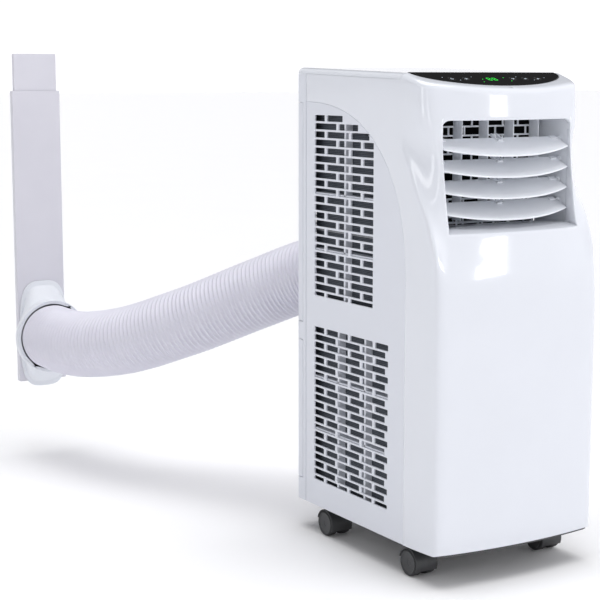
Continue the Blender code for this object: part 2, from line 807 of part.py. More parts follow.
def caster_yoke(name, x, y):
    """A caster's yoke: the web between the wheels, the hood over them and the stem it swivels on."""
    top = UNDERSIDE - 0.0005
    brim = top - 0.0062
    axle = (y + CASTER_TRAIL, WHEEL_RADIUS)
    web = arc(*axle, 0.0085, 0.0085, -90, 20, 4)
    web += [(y + 0.016, brim), (y + 0.016, top - 0.003), (y - 0.014, top - 0.003), (y - 0.014, brim)]
    web += [(y - 0.004, 0.0125)]
    yoke = plate("caster_yoke_" + name, [web], "YZ", x, FORK_WIDTH, DARK, (x, y, top))
    hood = [(y - 0.015, brim), (y + 0.026, brim)]
    hood += arc(y + 0.0055, brim, 0.0205, 0.0062, 0, 180, 6)[1:-1]
    combine(yoke, plate("hood_" + name, [hood], "YZ", x, 0.036), "UNION")
    combine(yoke, rod("stem_" + name, STEM_RADIUS, (x, y, top - 0.004), 0.019, "Z", sides=12), "UNION")
    combine(yoke, rod("axle_hole_" + name, AXLE_RADIUS + 0.0004, (x - 0.02, *axle), 0.04, "X", sides=12))
    bake(yoke)


def caster_wheels(name, x, y):
    """A caster's pair of wheels on their axle, with a flat facet on the floor."""
    axle = (y + CASTER_TRAIL, WHEEL_RADIUS)
    inner = FORK_WIDTH / 2 + 0.0005
    radius = WHEEL_RADIUS / math.cos(math.pi / WHEEL_SIDES)
    start_at = (x - inner - WHEEL_WIDTH, *axle)
    wheels = rod("caster_wheels_" + name, radius, start_at, WHEEL_WIDTH, "X", DARK, WHEEL_SIDES, (x, *axle))
    other = rod("far_wheel_" + name, radius, (x + inner, *axle), WHEEL_WIDTH, "X", sides=WHEEL_SIDES)
    combine(wheels, other, "UNION")
    combine(wheels, rod("axle_" + name, AXLE_RADIUS, (x - 0.012, *axle), 0.024, "X", sides=12), "UNION")
    bake(wheels)


def casters():
    """Four twin-wheel casters."""
    for place in caster_places():
        caster_yoke(*place)
        caster_wheels(*place)


# ---------------------------------------------------------------- machine inside


def scroll(centre, big, small, mouth_y, mouth_low, sign, wall):
    """The side view of a blower housing whose mouth opens along Y: sign 1 towards the back, -1 the front."""
    y, z = centre
    big -= wall
    small -= wall
    points = [(mouth_y, z + big)]
    for i in range(13):
        angle = math.radians(90 + 262 * i / 12)
        radius = big + (small - big) * i / 12
        points.append((y - sign * radius * -math.cos(angle), z + radius * math.sin(angle)))
    points.append((mouth_y, mouth_low + wall))
    return points


def blower(name, centre, big, small, mouth_y, mouth_low, sign, half_length, radius):
    """A hollow scroll housing, the wheel that turns in it and the motor on its side."""
    wall = 0.002
    outline = scroll(centre, big, small, mouth_y, mouth_low, sign, 0)
    housing = plate(name + "_blower_housing", [outline], "YZ", 0, 2 * half_length, FOAM_GREY)
    past = mouth_y + sign * 0.004
    inner = scroll(centre, big, small, past, mouth_low, sign, wall)
    combine(housing, plate(name + "_hollow", [inner], "YZ", 0, 2 * (half_length - wall)))
    y, z = centre
    combine(housing, rod(name + "_inlet", radius * 0.85, (-half_length - 0.01, y, z), 0.02, "X", sides=20))
    combine(housing, rod(name + "_shaft_hole", 0.007, (0, y, z), half_length + 0.02, "X", sides=12))
    bake(housing)
    star = []
    for i in range(FAN_BLADES):
        turn = 360 * i / FAN_BLADES
        star += arc(y, z, radius, radius, turn, turn + 5, 1)
        star += arc(y, z, radius * 0.8, radius * 0.8, turn + 9, turn + 14, 1)
    reach = half_length - 0.006
    wheel = plate(name + "_blower_wheel", [star], "YZ", 0, 2 * reach, FOAM_GREY, (0, y, z))
    combine(wheel, rod(name + "_eye", radius * 0.62, (-reach - 0.01, y, z), reach + 0.02, "X", sides=20))
    combine(wheel, rod(name + "_shaft", 0.004, (reach - 0.01, y, z), 0.034, "X", sides=12), "UNION")
    bake(wheel)
    motor_x = half_length + 0.001
    motor = rod(name + "_motor", MOTOR_RADIUS, (motor_x, y, z), 0.034, "X", BLACK_STEEL, 20)
    combine(motor, rod(name + "_motor_bore", 0.0044, (motor_x - 0.01, y, z), 0.036, "X", sides=12))
    bake(motor)


def coil(name, y, low, high):
    """A finned heat exchanger with an end plate on each side."""
    half = COIL_HALF
    block = box(name, (-half, y - 0.014, low), (half, y + 0.014, high), ALUMINIUM)
    for side, sign in SIDES:
        xs = sorted((sign * (half - 0.001), sign * (half + 0.001)))
        end = box(f"{name}_end_{side}", (xs[0], y - 0.017, low - 0.003), (xs[1], y + 0.017, high + 0.003))
        combine(block, end, "UNION")
    bake(block)


def compressor():
    """The compressor's welded can on its foot, and the accumulator beside it."""
    can = [(0.0, 0.178), (0.020, 0.177), (0.040, 0.170), (0.050, 0.157), (0.0525, 0.140), (0.0525, 0.030)]
    can += [(0.050, 0.014), (0.058, 0.010), (0.058, 0.006), (0.040, 0.004), (0.0, 0.004)]
    turned("compressor", can, 24, (-0.045, -0.062, 0.046), BLACK_STEEL)
    bottle = [(0.0, 0.140), (0.006, 0.139), (0.008, 0.128), (0.018, 0.118), (0.0205, 0.108)]
    bottle += [(0.0205, 0.030), (0.015, 0.020), (0.006, 0.014), (0.0, 0.014)]
    turned("accumulator", bottle, 16, (0.040, -0.070, 0.050), BLACK_STEEL)


def pipes():
    """The discharge pipe to the condenser and the suction pipe from the evaporator."""
    discharge = (
        (-0.045, -0.062, 0.225),
        (-0.050, -0.060, 0.238),
        (-0.075, -0.040, 0.244),
        (-0.094, 0.010, 0.244),
        (-0.098, 0.060, 0.240),
        (-0.100, 0.092, 0.236),
        (-0.100, 0.115, 0.235),
    )
    tube("discharge_pipe", smooth_route(discharge, 3), 0.0038, COPPER)
    suction = (
        (-0.098, 0.1140, 0.520),
        (-0.098, 0.0980, 0.520),
        (-0.102, 0.0780, 0.505),
        (-0.104, 0.0700, 0.470),
        (-0.104, 0.0600, 0.420),
        (-0.104, 0.0100, 0.350),
        (-0.100, -0.0600, 0.300),
        (-0.060, -0.1200, 0.262),
        (0.000, -0.1200, 0.245),
        (0.034, -0.0900, 0.225),
        (0.040, -0.0700, 0.208),
        (0.040, -0.0700, 0.1905),
    )
    tube("suction_pipe", smooth_route(suction, 3), 0.0045, COPPER)


def machine():
    """Everything inside the cabinet."""
    coil("evaporator_coil", COIL_Y, 0.478, 0.660)
    coil("condenser_coil", COIL_Y, 0.072, 0.318)
    compressor()
    pipes()
    blower("cool", COOL_FAN, 0.075, 0.058, DUCT_BACK + 0.0045, 0.484, -1, 0.060, 0.050)
    blower("hot", HOT_FAN, 0.092, 0.066, 0.1855, 0.341, 1, 0.050, 0.056)
    hole = arc(-0.104, 0.067, 0.012, 0.016, 0, 345, 12)
    plate("partition_deck", [rectangle(-0.128, 0.128, -0.120, 0.150), hole], "XY", DECK_Z, 0.003, FOAM_GREY)
    box("electrics_box", (0.066, -0.160, 0.260), (0.124, -0.095, 0.400), STEEL)


# ---------------------------------------------------------------- hose and window kit


def ring_solid(name, sections, material):
    """A pipe whose outside runs through the sections in turn and whose inside runs back, as one loop."""
    bm = skin([*sections, sections[0]], closed_ends=False)
    bmesh.ops.remove_doubles(bm, verts=bm.verts, dist=0.000001)
    bmesh.ops.recalc_face_normals(bm, faces=bm.faces)
    return add_object(name, bm, material)


def oval(half_width, half_height, y, x=0.0, z=0.0, sides=28):
    """A superellipse in a plane across Y: round when the halves are equal."""
    power = 2 + 1.2 * (half_height / half_width - 1)
    made = []
    for i in range(sides):
        angle = 2 * math.pi * i / sides
        across = math.cos(angle)
        up = math.sin(angle)
        reach = (abs(across) ** power + abs(up) ** power) ** (-1 / power)
        made.append((x + half_width * across * reach, y, z + half_height * up * reach))
    return made


def hose_collar():
    """The ring on the back that the hose is screwed into."""
    start_y = BACK + GAP
    end_y = start_y + COLLAR_DEPTH
    profile = ((0.0720, start_y), (0.0720, start_y + 0.003), (0.0640, start_y + 0.004))
    profile += ((0.0630, end_y), (0.0535, end_y), (0.0535, start_y))
    sections = [oval(radius, radius, y, z=OUTLET_Z) for radius, y in profile]
    ring_solid("hose_collar", sections, HOSE_WHITE)


def window_adapter():
    """The duct piece that turns from the round hose to the oval slot in the window panel."""
    place = {"x": ADAPTER_X, "z": ADAPTER_Z}
    y = WINDOW_PLANE
    outside = ((0.0665, 0.0665, -0.0457), (0.0665, 0.0665, -0.0340), (0.0610, 0.0640, -0.0300))
    outside += ((0.0480, 0.0760, -0.0170), (0.0420, 0.0860, -0.0080), (0.0400, 0.0890, -0.0040))
    outside += ((0.0448, 0.0980, -0.0038), (0.0448, 0.0980, -GAP))
    inside = ((0.0370, 0.0860, -GAP), (0.0370, 0.0830, -0.0080), (0.0440, 0.0720, -0.0170))
    inside += ((0.0560, 0.0600, -0.0300), (0.0590, 0.0590, -0.0350), (0.0590, 0.0590, -0.0457))
    sections = [oval(a, b, y + step, **place) for a, b, step in (*outside, *inside)]
    ring_solid("window_adapter", sections, HOSE_WHITE)


def channel(name, width, low, high, front, depth, wall):
    """A strip with its two long edges folded back, seen from above as a flat U."""
    left = WINDOW_X - width / 2
    right = WINDOW_X + width / 2
    back = front + depth
    outline = [(left, front), (right, front), (right, back), (right - wall, back)]
    outline += [(right - wall, front + wall), (left + wall, front + wall), (left + wall, back), (left, back)]
    return plate(name, [outline], "XY", (low + high) / 2, high - low, HOSE_WHITE)


def window_panels():
    """The outer strip with the slot for the hose, and the inner strip that slides up out of it."""
    outer = channel("window_panel_outer", *OUTER_PANEL, WINDOW_PLANE, 0.012, PANEL_WALL)
    slot = [(x, z) for x, _, z in oval(0.0350, 0.0840, 0, ADAPTER_X, ADAPTER_Z)]
    combine(outer, plate("hose_slot", [slot], "XZ", WINDOW_PLANE, 0.04))
    bake(outer)
    channel("window_panel_inner", *INNER_PANEL, WINDOW_PLANE + PANEL_WALL + 0.0006, 0.0085, PANEL_WALL)


def hose_and_window_kit():
    """The exhaust hose and all that it joins."""
    hose_collar()
    tube("exhaust_hose", HOSE_ROUTE, HOSE_DIAMETER / 2, HOSE_WHITE, 4)
    window_adapter()
    window_panels()


def cord_gland():
    """The flush grommet that the mains lead would pass through, with its flange inside the wall."""
    x, z = GLAND
    inside = BACK - WALL - GAP
    gland = rod("cord_gland", GLAND_RADIUS, (x, inside - 0.002, z), 0.002 + GAP + WALL, "Y", DARK, 12)
    flange = rod("gland_flange", GLAND_RADIUS + 0.002, (x, inside - 0.003, z), 0.003, "Y", sides=12)
    combine(gland, flange, "UNION")
    combine(gland, rod("gland_bore", 0.0036, (x, 0.1, z), 0.12, "Y", sides=12))
    bake(gland)


front_shell()
side_panels()
top_cover()
rear_panel()
filter_frames()
base_tray()
panel_screws()
controls()
outlet_duct()
outlet_guard()
vanes()
blades()
casters()
machine()
hose_and_window_kit()
cord_gland()
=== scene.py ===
"""Looks of a portable air conditioner with its exhaust hose and window kit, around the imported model.

Metres, +Z up. The front faces -Y, the hose leaves the back, and the floor is z = 0.
"""

import math
from functools import lru_cache

import bmesh
import bpy
import numpy as np
from mathutils import Matrix, Vector


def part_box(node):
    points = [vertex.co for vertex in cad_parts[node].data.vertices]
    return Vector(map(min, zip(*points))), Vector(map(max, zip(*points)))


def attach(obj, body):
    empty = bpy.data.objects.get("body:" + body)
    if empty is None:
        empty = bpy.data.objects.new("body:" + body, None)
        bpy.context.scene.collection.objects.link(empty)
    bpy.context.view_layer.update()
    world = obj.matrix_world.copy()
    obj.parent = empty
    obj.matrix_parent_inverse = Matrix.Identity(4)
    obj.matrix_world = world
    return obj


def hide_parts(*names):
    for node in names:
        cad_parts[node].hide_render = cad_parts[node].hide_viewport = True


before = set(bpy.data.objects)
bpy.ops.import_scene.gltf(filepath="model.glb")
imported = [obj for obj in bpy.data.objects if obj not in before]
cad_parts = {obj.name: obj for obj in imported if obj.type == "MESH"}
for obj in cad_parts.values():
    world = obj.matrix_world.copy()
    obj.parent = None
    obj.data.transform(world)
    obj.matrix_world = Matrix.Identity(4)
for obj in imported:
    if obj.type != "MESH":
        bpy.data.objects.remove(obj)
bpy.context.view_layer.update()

# ---------------------------------------------------------------- sizes that come from the frame

HALF_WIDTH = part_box("side_panel_right")[1].x
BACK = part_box("rear_panel")[1].y
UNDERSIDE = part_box("rear_panel")[0].z
REAR_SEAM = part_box("rear_panel")[0].y
LID_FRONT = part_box("top_cover")[0].y
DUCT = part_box("outlet_duct")
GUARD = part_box("outlet_guard")
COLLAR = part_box("hose_collar")
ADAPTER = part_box("window_adapter")
OUTER_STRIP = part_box("window_panel_outer")
INNER_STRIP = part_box("window_panel_inner")
HOSE_DIAMETER = 0.116

# The hose's centreline, from the collar on the back to the window adapter
HOSE_ROUTE = (
    (0.000, 0.2000, 0.392),
    (0.000, 0.2200, 0.392),
    (-0.006, 0.2485, 0.388),
    (-0.016, 0.2790, 0.381),
    (-0.031, 0.3110, 0.371),
    (-0.051, 0.3440, 0.357),
    (-0.075, 0.3770, 0.340),
    (-0.102, 0.4110, 0.322),
    (-0.130, 0.4450, 0.303),
    (-0.159, 0.4800, 0.284),
    (-0.187, 0.5160, 0.267),
    (-0.213, 0.5550, 0.250),
    (-0.237, 0.5960, 0.236),
    (-0.257, 0.6400, 0.226),
    (-0.273, 0.6870, 0.219),
    (-0.284, 0.7350, 0.217),
    (-0.288, 0.7700, 0.218),
    (-0.288, 0.7975, 0.218),
)

# ---------------------------------------------------------------- sizes of the casing's shape

SEAM_GAP = 0.0006
SHELL_WALL = 0.0026
SEAM_ROUND = 0.0006

# The plan of the front shell at each height: z, y of the front's middle, y of the ridge at the side, half width of
# the flat front, how far the front bows out, the angle that the surface turns through at the ridge, and how full
# the corner between them is
PLAN = (
    (0.030, -0.1888, -0.170, 0.1200, 0.009, 0.0, 0.56),
    (0.300, -0.1888, -0.170, 0.1200, 0.009, 0.0, 0.56),
    (0.380, -0.1880, -0.170, 0.1190, 0.009, 8.0, 0.56),
    (0.420, -0.1850, -0.169, 0.1170, 0.010, 45.0, 0.56),
    (0.460, -0.1775, -0.164, 0.1120, 0.012, 78.0, 0.58),
    (0.500, -0.1710, -0.147, 0.1030, 0.013, 78.0, 0.64),
    (0.540, -0.1675, -0.121, 0.0970, 0.013, 52.0, 0.74),
    (0.580, -0.1645, -0.098, 0.0950, 0.014, 34.0, 0.82),
    (0.602, -0.1620, -0.088, 0.0950, 0.014, 18.0, 0.84),
    (0.622, -0.1605, -0.086, 0.0960, 0.014, 5.0, 0.84),
    (0.645, -0.1590, -0.088, 0.0980, 0.015, 0.0, 0.84),
    (0.720, -0.1550, -0.088, 0.0980, 0.016, 0.0, 0.84),
)
REAR_CORNER = 0.014
SKIRT_LIFT = 0.0045
TOP_ROUND = 0.0085

# The control slope and the lid behind it are planes: y and z of a point on each, and the slope
CONTROL_EDGE = (-0.088, 0.691)
CONTROL_SLOPE = 0.3148
LID_SLOPE = 0.0323
LID_SKIRT = 0.009

# The seam between the front shell and a side panel: the top corner, the front line and the knee
SEAM_TOP = 0.650
SEAM_FRONT = -0.100
SEAM_KNEE = 0.400
SEAM_POWER = 2.4

# The air outlet's opening in the front shell
VENT_HALF = 0.1112
VENT_LOW = 0.477
VENT_HIGH = 0.631
VENT_TOP_CORNER = 0.013
VENT_LOW_CORNER = 0.004
VENT_LIP = 0.0025
THROAT_BACK = -0.136
SILL_SLOPE = 0.24

# The control fascia's crescent, in the plane of its slope
FASCIA_HALF = 0.126
FASCIA_TIP = 0.003
FASCIA_DEPTH = 0.053


def mm(value):
    """Metres from millimetres."""
    return value / 1000


# ---------------------------------------------------------------- colours and material nodes


def srgb(code):
    """Linear colour from an sRGB hex code."""
    made = []
    for i in (0, 2, 4):
        share = int(code[i : i + 2], 16) / 255
        made.append(share / 12.92 if share <= 0.04045 else ((share + 0.055) / 1.055) ** 2.4)
    return (*made, 1.0)


def add_node(tree, kind, links=(), values=(), **settings):
    """Add a shader node, set its properties and socket values, and link its inputs."""
    made = tree.nodes.new("ShaderNode" + kind)
    for name, value in settings.items():
        setattr(made, name, value)
    for socket, value in dict(values).items():
        made.inputs[socket].default_value = value
    for socket, source in dict(links).items():
        tree.links.new(source, made.inputs[socket])
    return made


def new_finish(name, colour, **sockets):
    """A material with a Principled shader, and the Object coordinates that its patterns read."""
    material = bpy.data.materials.new(name)
    material.use_nodes = True
    tree = material.node_tree
    shader = tree.nodes["Principled BSDF"]
    shader.inputs["Base Color"].default_value = srgb(colour)
    for socket, value in sockets.items():
        shader.inputs[socket.replace("_", " ")].default_value = value
    place = add_node(tree, "TexCoord").outputs["Object"]
    return material, tree, shader, place


def vary_colour(tree, shader, factor, low, high):
    """Drive the base colour between two hex colours."""
    mix = add_node(tree, "Mix", data_type="RGBA")
    mix.inputs["A"].default_value = srgb(low)
    mix.inputs["B"].default_value = srgb(high)
    tree.links.new(factor, mix.inputs["Factor"])
    tree.links.new(mix.outputs["Result"], shader.inputs["Base Color"])


def vary_roughness(tree, shader, factor, low, high):
    """Drive the roughness between two values."""
    spread = add_node(tree, "MapRange", {"Value": factor}, {"To Min": low, "To Max": high})
    tree.links.new(spread.outputs["Result"], shader.inputs["Roughness"])


def raise_surface(tree, shader, height, distance, strength=1.0):
    """Bump a surface by a height pattern whose full depth is the distance in metres."""
    bump = add_node(tree, "Bump", {"Height": height}, {"Distance": distance, "Strength": strength})
    tree.links.new(bump.outputs["Normal"], shader.inputs["Normal"])


def grain(tree, place, size, detail=2.0):
    """Cloudy noise whose features are about the given size in metres."""
    values = {"Scale": 1 / size, "Detail": detail, "Roughness": 0.5}
    return add_node(tree, "TexNoise", {"Vector": place}, values).outputs["Fac"]


def gloss_abs():
    """Moulded gloss ABS: a hard mirror-like skin with the faint orange peel of the mould."""
    material, tree, shader, place = new_finish("moulded gloss ABS", "E2E5EC", IOR=1.54, Coat_Weight=0.35)
    vary_colour(tree, shader, grain(tree, place, mm(90)), "E0E3EA", "E4E7EE")
    vary_roughness(tree, shader, grain(tree, place, mm(35)), 0.09, 0.15)
    raise_surface(tree, shader, grain(tree, place, mm(6), 1.0), mm(0.006))
    return material


def satin_abs():
    """Moulded satin ABS: spark-eroded tools leave a fine even grain that dulls the skin. Its colour is painted a step
    lighter than the gloss front, as painted light for the vanes and duct parts that sit in the outlet's shade.
    """
    material, tree, shader, place = new_finish("moulded satin ABS, painted lighter", "EEF1F7", IOR=1.54)
    vary_colour(tree, shader, grain(tree, place, mm(25)), "ECEFF5", "F1F4F9")
    vary_roughness(tree, shader, grain(tree, place, mm(8)), 0.30, 0.42)
    raise_surface(tree, shader, grain(tree, place, mm(0.9), 3.0), mm(0.02))
    return material


def textured_abs():
    """Moulded ABS with a light texture: the side, rear and filter panels, a shade duller than the gloss front."""
    material, tree, shader, place = new_finish("moulded textured ABS", "DDE0E8", IOR=1.54)
    vary_roughness(tree, shader, grain(tree, place, mm(60)), 0.27, 0.31)
    raise_surface(tree, shader, grain(tree, place, mm(6), 2.0), mm(0.004))
    return material


def hose_film():
    """Polypropylene hose film on a wire: thin, milky, a little lavender, with a soft shine on each turn."""
    material, tree, shader, place = new_finish(
        "polypropylene hose film", "DAD9E4", IOR=1.49, Subsurface_Weight=0.15, Subsurface_Scale=0.004
    )
    shader.inputs["Subsurface Radius"].default_value = (1.0, 0.9, 1.0)
    vary_colour(tree, shader, grain(tree, place, mm(40)), "D6D5E1", "DFDEE8")
    vary_roughness(tree, shader, grain(tree, place, mm(12)), 0.38, 0.55)
    raise_surface(tree, shader, grain(tree, place, mm(3), 3.0), mm(0.04))
    return material


def kit_plastic():
    """Injection-moulded polypropylene: waxy and even, for the collar and the window adapter."""
    material, tree, shader, place = new_finish("moulded polypropylene", "E3E6ED", IOR=1.49)
    vary_colour(tree, shader, grain(tree, place, mm(30)), "E0E3EA", "E7EAF0")
    vary_roughness(tree, shader, grain(tree, place, mm(10)), 0.28, 0.40)
    raise_surface(tree, shader, grain(tree, place, mm(2), 2.0), mm(0.02))
    return material


def strip_plastic():
    """Extruded PVC strip: fine lines run along its length from the die."""
    material, tree, shader, place = new_finish("extruded matt PVC", "D9D8E0", IOR=1.54)
    along = add_node(tree, "Mapping", {"Vector": place})
    along.inputs["Scale"].default_value = (1.0, 1.0, 0.02)
    lines = grain(tree, along.outputs["Vector"], mm(2.5), 2.0)
    vary_colour(tree, shader, grain(tree, place, mm(60)), "D6D5DE", "DDDCE4")
    vary_roughness(tree, shader, lines, 0.40, 0.55)
    raise_surface(tree, shader, lines, mm(0.03))
    return material


def dark_nylon():
    """Glass-filled nylon: charcoal, dry and slightly mottled by the fibres at its skin."""
    material, tree, shader, place = new_finish("glass-filled nylon", "3A3B3D", IOR=1.53)
    vary_colour(tree, shader, grain(tree, place, mm(6), 4.0), "333436", "444547")
    vary_roughness(tree, shader, grain(tree, place, mm(3)), 0.38, 0.56)
    raise_surface(tree, shader, grain(tree, place, mm(1.0), 3.0), mm(0.03))
    return material


def wheel_rubber():
    """Thermoplastic rubber tread: matt near-black with scuffs from the floor."""
    material, tree, shader, place = new_finish("thermoplastic rubber", "2E2F30", IOR=1.5)
    vary_colour(tree, shader, grain(tree, place, mm(4), 5.0), "262728", "3B3C3D")
    vary_roughness(tree, shader, grain(tree, place, mm(2)), 0.55, 0.75)
    raise_surface(tree, shader, grain(tree, place, mm(0.8), 4.0), mm(0.04))
    return material


def black_acrylic():
    """Back-printed acrylic: deep black under a clear polished face."""
    material, tree, shader, place = new_finish("back-printed acrylic", "060607", IOR=1.49)
    vary_roughness(tree, shader, grain(tree, place, mm(15)), 0.06, 0.11)
    raise_surface(tree, shader, grain(tree, place, mm(12), 1.0), mm(0.006))
    return material


def lit_print(name, colour, strength):
    """Translucent print with a lamp under it, a little uneven."""
    material, tree, shader, place = new_finish(name, colour, Roughness=0.4)
    shader.inputs["Emission Color"].default_value = srgb(colour)
    glow = add_node(
        tree, "MapRange", {"Value": grain(tree, place, mm(2))}, {"To Min": strength * 0.8, "To Max": strength * 1.2}
    )
    tree.links.new(glow.outputs["Result"], shader.inputs["Emission Strength"])
    return material


def net_pattern(tree, place, pitch, share):
    """1 on the threads of a net in the XZ or YZ plane and 0 in its holes."""
    axes = add_node(tree, "SeparateXYZ", {"Vector": place})
    across = add_node(tree, "Math", {0: axes.outputs["X"], 1: axes.outputs["Y"]}, operation="ADD").outputs["Value"]
    masks = []
    for source in (across, axes.outputs["Z"]):
        turns = add_node(tree, "Math", {0: source}, {1: 1 / pitch}, operation="MULTIPLY")
        wave = add_node(tree, "Math", {0: turns.outputs["Value"]}, operation="FRACT")
        masks.append(add_node(tree, "Math", {0: wave.outputs["Value"]}, {1: share}, operation="LESS_THAN"))
    both = {0: masks[0].outputs["Value"], 1: masks[1].outputs["Value"]}
    return add_node(tree, "Math", both, operation="MAXIMUM").outputs["Value"]


def filter_net():
    """Woven polypropylene dust net, drawn at 2.4 mm because the real 0.6 mm mesh is too fine to show. The threads carry
    the net's own grey; its holes are painted dark as painted shade seen through them.
    """
    material, tree, shader, place = new_finish("woven dust net with painted hole shade", "202327", Roughness=0.7)
    threads = net_pattern(tree, place, mm(2.4), 0.3)
    # Painted shade: the holes take a dark colour for the shade behind the net, the threads their own grey.
    vary_colour(tree, shader, threads, "30343A", "646A74")
    raise_surface(tree, shader, threads, mm(0.3))
    return material


def painted_steel():
    """Black stoving enamel on pressed steel: smooth with slight sag marks."""
    material, tree, shader, place = new_finish("black enamelled steel", "1A1A1C", IOR=1.5, Coat_Weight=0.3)
    vary_roughness(tree, shader, grain(tree, place, mm(20)), 0.28, 0.42)
    raise_surface(tree, shader, grain(tree, place, mm(4), 2.0), mm(0.03))
    return material


def zinc_steel():
    """Galvanised sheet steel with its spangle."""
    material, tree, shader, place = new_finish("galvanised steel", "B9BBBE", Metallic=1.0)
    spangle = add_node(tree, "TexVoronoi", {"Vector": place}, {"Scale": 1 / mm(6)}).outputs["Color"]
    vary_colour(tree, shader, spangle, "A6A8AC", "C6C8CC")
    vary_roughness(tree, shader, spangle, 0.30, 0.50)
    return material


def fin_stock():
    """Stacked aluminium fins, drawn at 3 mm because the real 1.6 mm pitch is too fine to show. The light stripes are
    the fin edges; the dark stripes between them are painted shade in the gaps between fins.
    """
    material, tree, shader, place = new_finish("aluminium fins with painted gap shade", "BFC1C4", Metallic=1.0)
    across = add_node(tree, "SeparateXYZ", {"Vector": place}).outputs["X"]
    turns = add_node(tree, "Math", {0: across}, {1: 1 / mm(3)}, operation="MULTIPLY").outputs["Value"]
    fin = add_node(tree, "Math", {0: turns}, {1: 1.0}, operation="PINGPONG").outputs["Value"]
    # Painted shade: the dark colour falls in the gaps between fins, the light one on the fin edges.
    vary_colour(tree, shader, fin, "5C5E62", "CFD1D4")
    vary_roughness(tree, shader, grain(tree, place, mm(5)), 0.30, 0.45)
    raise_surface(tree, shader, fin, mm(0.8))
    return material


def copper():
    """Drawn copper tube, brightest where it was handled least."""
    material, tree, shader, place = new_finish("drawn copper", "C77E5C", Metallic=1.0)
    vary_colour(tree, shader, grain(tree, place, mm(25), 4.0), "B46E50", "D08C68")
    vary_roughness(tree, shader, grain(tree, place, mm(6)), 0.22, 0.38)
    return material


def foam():
    """Expanded polystyrene: grey beads pressed together, each painted lighter at its middle and darker at its rim as
    painted shade in the seams between beads.
    """
    material, tree, shader, place = new_finish("expanded polystyrene", "9A9CA0", Roughness=0.75)
    beads = add_node(tree, "TexVoronoi", {"Vector": place}, {"Scale": 1 / mm(3.5)}).outputs["Distance"]
    # Painted shade: the colour darkens from each bead's middle to its rim, where the seams between beads fall.
    vary_colour(tree, shader, beads, "A4A6AA", "86888C")
    raise_surface(tree, shader, beads, mm(0.4), 0.6)
    return material


def circuit_board():
    """Green solder mask over tracks."""
    material, tree, shader, place = new_finish("solder mask", "14502A", IOR=1.5)
    tracks = net_pattern(tree, place, mm(4), 0.25)
    vary_colour(tree, shader, tracks, "123F22", "1D6B3A")
    vary_roughness(tree, shader, tracks, 0.35, 0.45)
    return material


def painted_shade_film():
    """Painted shade: a near-black film on the far side of the guard that stands for the shade deep in the duct, so
    nearly no light comes back from it.
    """
    material, tree, shader, place = new_finish("painted shade film", "070809", Roughness=0.9)
    vary_colour(tree, shader, grain(tree, place, mm(3), 4.0), "050506", "0C0D0F")
    shader.inputs["Specular IOR Level"].default_value = 0.05
    return material


def pale_floor():
    """A pale matt studio floor."""
    material, tree, shader, place = new_finish("pale studio floor", "FAFAFB", Roughness=0.6)
    vary_colour(tree, shader, grain(tree, place, 0.6), "F9F9FA", "FBFBFC")
    shader.inputs["Specular IOR Level"].default_value = 0.2
    return material


GLOSS = gloss_abs()
SATIN = satin_abs()
TEXTURED = textured_abs()
FILM = hose_film()
KIT = kit_plastic()
STRIP = strip_plastic()
NYLON = dark_nylon()
RUBBER = wheel_rubber()
ACRYLIC = black_acrylic()
NET = filter_net()
ENAMEL = painted_steel()
ZINC = zinc_steel()
FINS = fin_stock()
COPPER = copper()
FOAM = foam()
BOARD = circuit_board()
PAINTED_SHADE = painted_shade_film()
GREEN_LIGHT = lit_print("lit green print", "2FD845", 0.5)
WHITE_LIGHT = lit_print("lit white print", "B8C4D0", 0.35)

# ---------------------------------------------------------------- camera, floor and light

WORLD_BRIGHT = 1.12
WORLD_DARK = 0.33


def place_camera():
    """The camera, to the left of the front and a little above the middle."""
    data = bpy.data.cameras.new("camera")
    data.lens = 89.8
    data.sensor_width = 36
    camera = bpy.data.objects.new("camera", data)
    camera.location = (-1.292, -1.737, 0.685)
    camera.rotation_euler = (math.radians(81.54), 0, -math.radians(31.13))
    bpy.context.scene.collection.objects.link(camera)
    bpy.context.scene.camera = camera


def area_light(name, place, target, size, power, colour="FFFFFF"):
    """A rectangular soft light that looks at a point."""
    data = bpy.data.lights.new(name, "AREA")
    data.shape = "RECTANGLE"
    data.size, data.size_y = size
    data.energy = power
    data.color = srgb(colour)[:3]
    lamp = bpy.data.objects.new(name, data)
    lamp.location = place
    lamp.rotation_euler = (Vector(target) - Vector(place)).to_track_quat("-Z", "Y").to_euler()
    bpy.context.scene.collection.objects.link(lamp)


def studio_world():
    """White surroundings that darken softly to the left, with a black flag above the back for the fascia."""
    world = bpy.data.worlds.new("studio")
    world.use_nodes = True
    tree = world.node_tree
    shade = tree.nodes["Background"]
    way = add_node(tree, "TexCoord").outputs["Generated"]
    turned_left = {1: Vector((-0.94, -0.10, 0.33)).normalized()}
    lean = add_node(tree, "VectorMath", {0: way}, turned_left, operation="DOT_PRODUCT").outputs["Value"]
    share = {"From Min": -0.45, "From Max": 0.85, "To Min": WORLD_BRIGHT, "To Max": WORLD_DARK}
    level = add_node(tree, "MapRange", {"Value": lean}, share, interpolation_type="SMOOTHSTEP").outputs["Result"]
    over_back = {1: Vector((0.517, 0.616, 0.610)).normalized()}
    near = add_node(tree, "VectorMath", {0: way}, over_back, operation="DOT_PRODUCT").outputs["Value"]
    share = {"From Min": 0.80, "From Max": 0.95, "To Min": 1.0, "To Max": 0.06}
    flag = add_node(tree, "MapRange", {"Value": near}, share, interpolation_type="SMOOTHSTEP").outputs["Result"]
    level = add_node(tree, "Math", {0: level, 1: flag}, operation="MULTIPLY").outputs["Value"]
    shade.inputs["Color"].default_value = srgb("FCFCFF")
    tree.links.new(level, shade.inputs["Strength"])
    bpy.context.scene.world = world


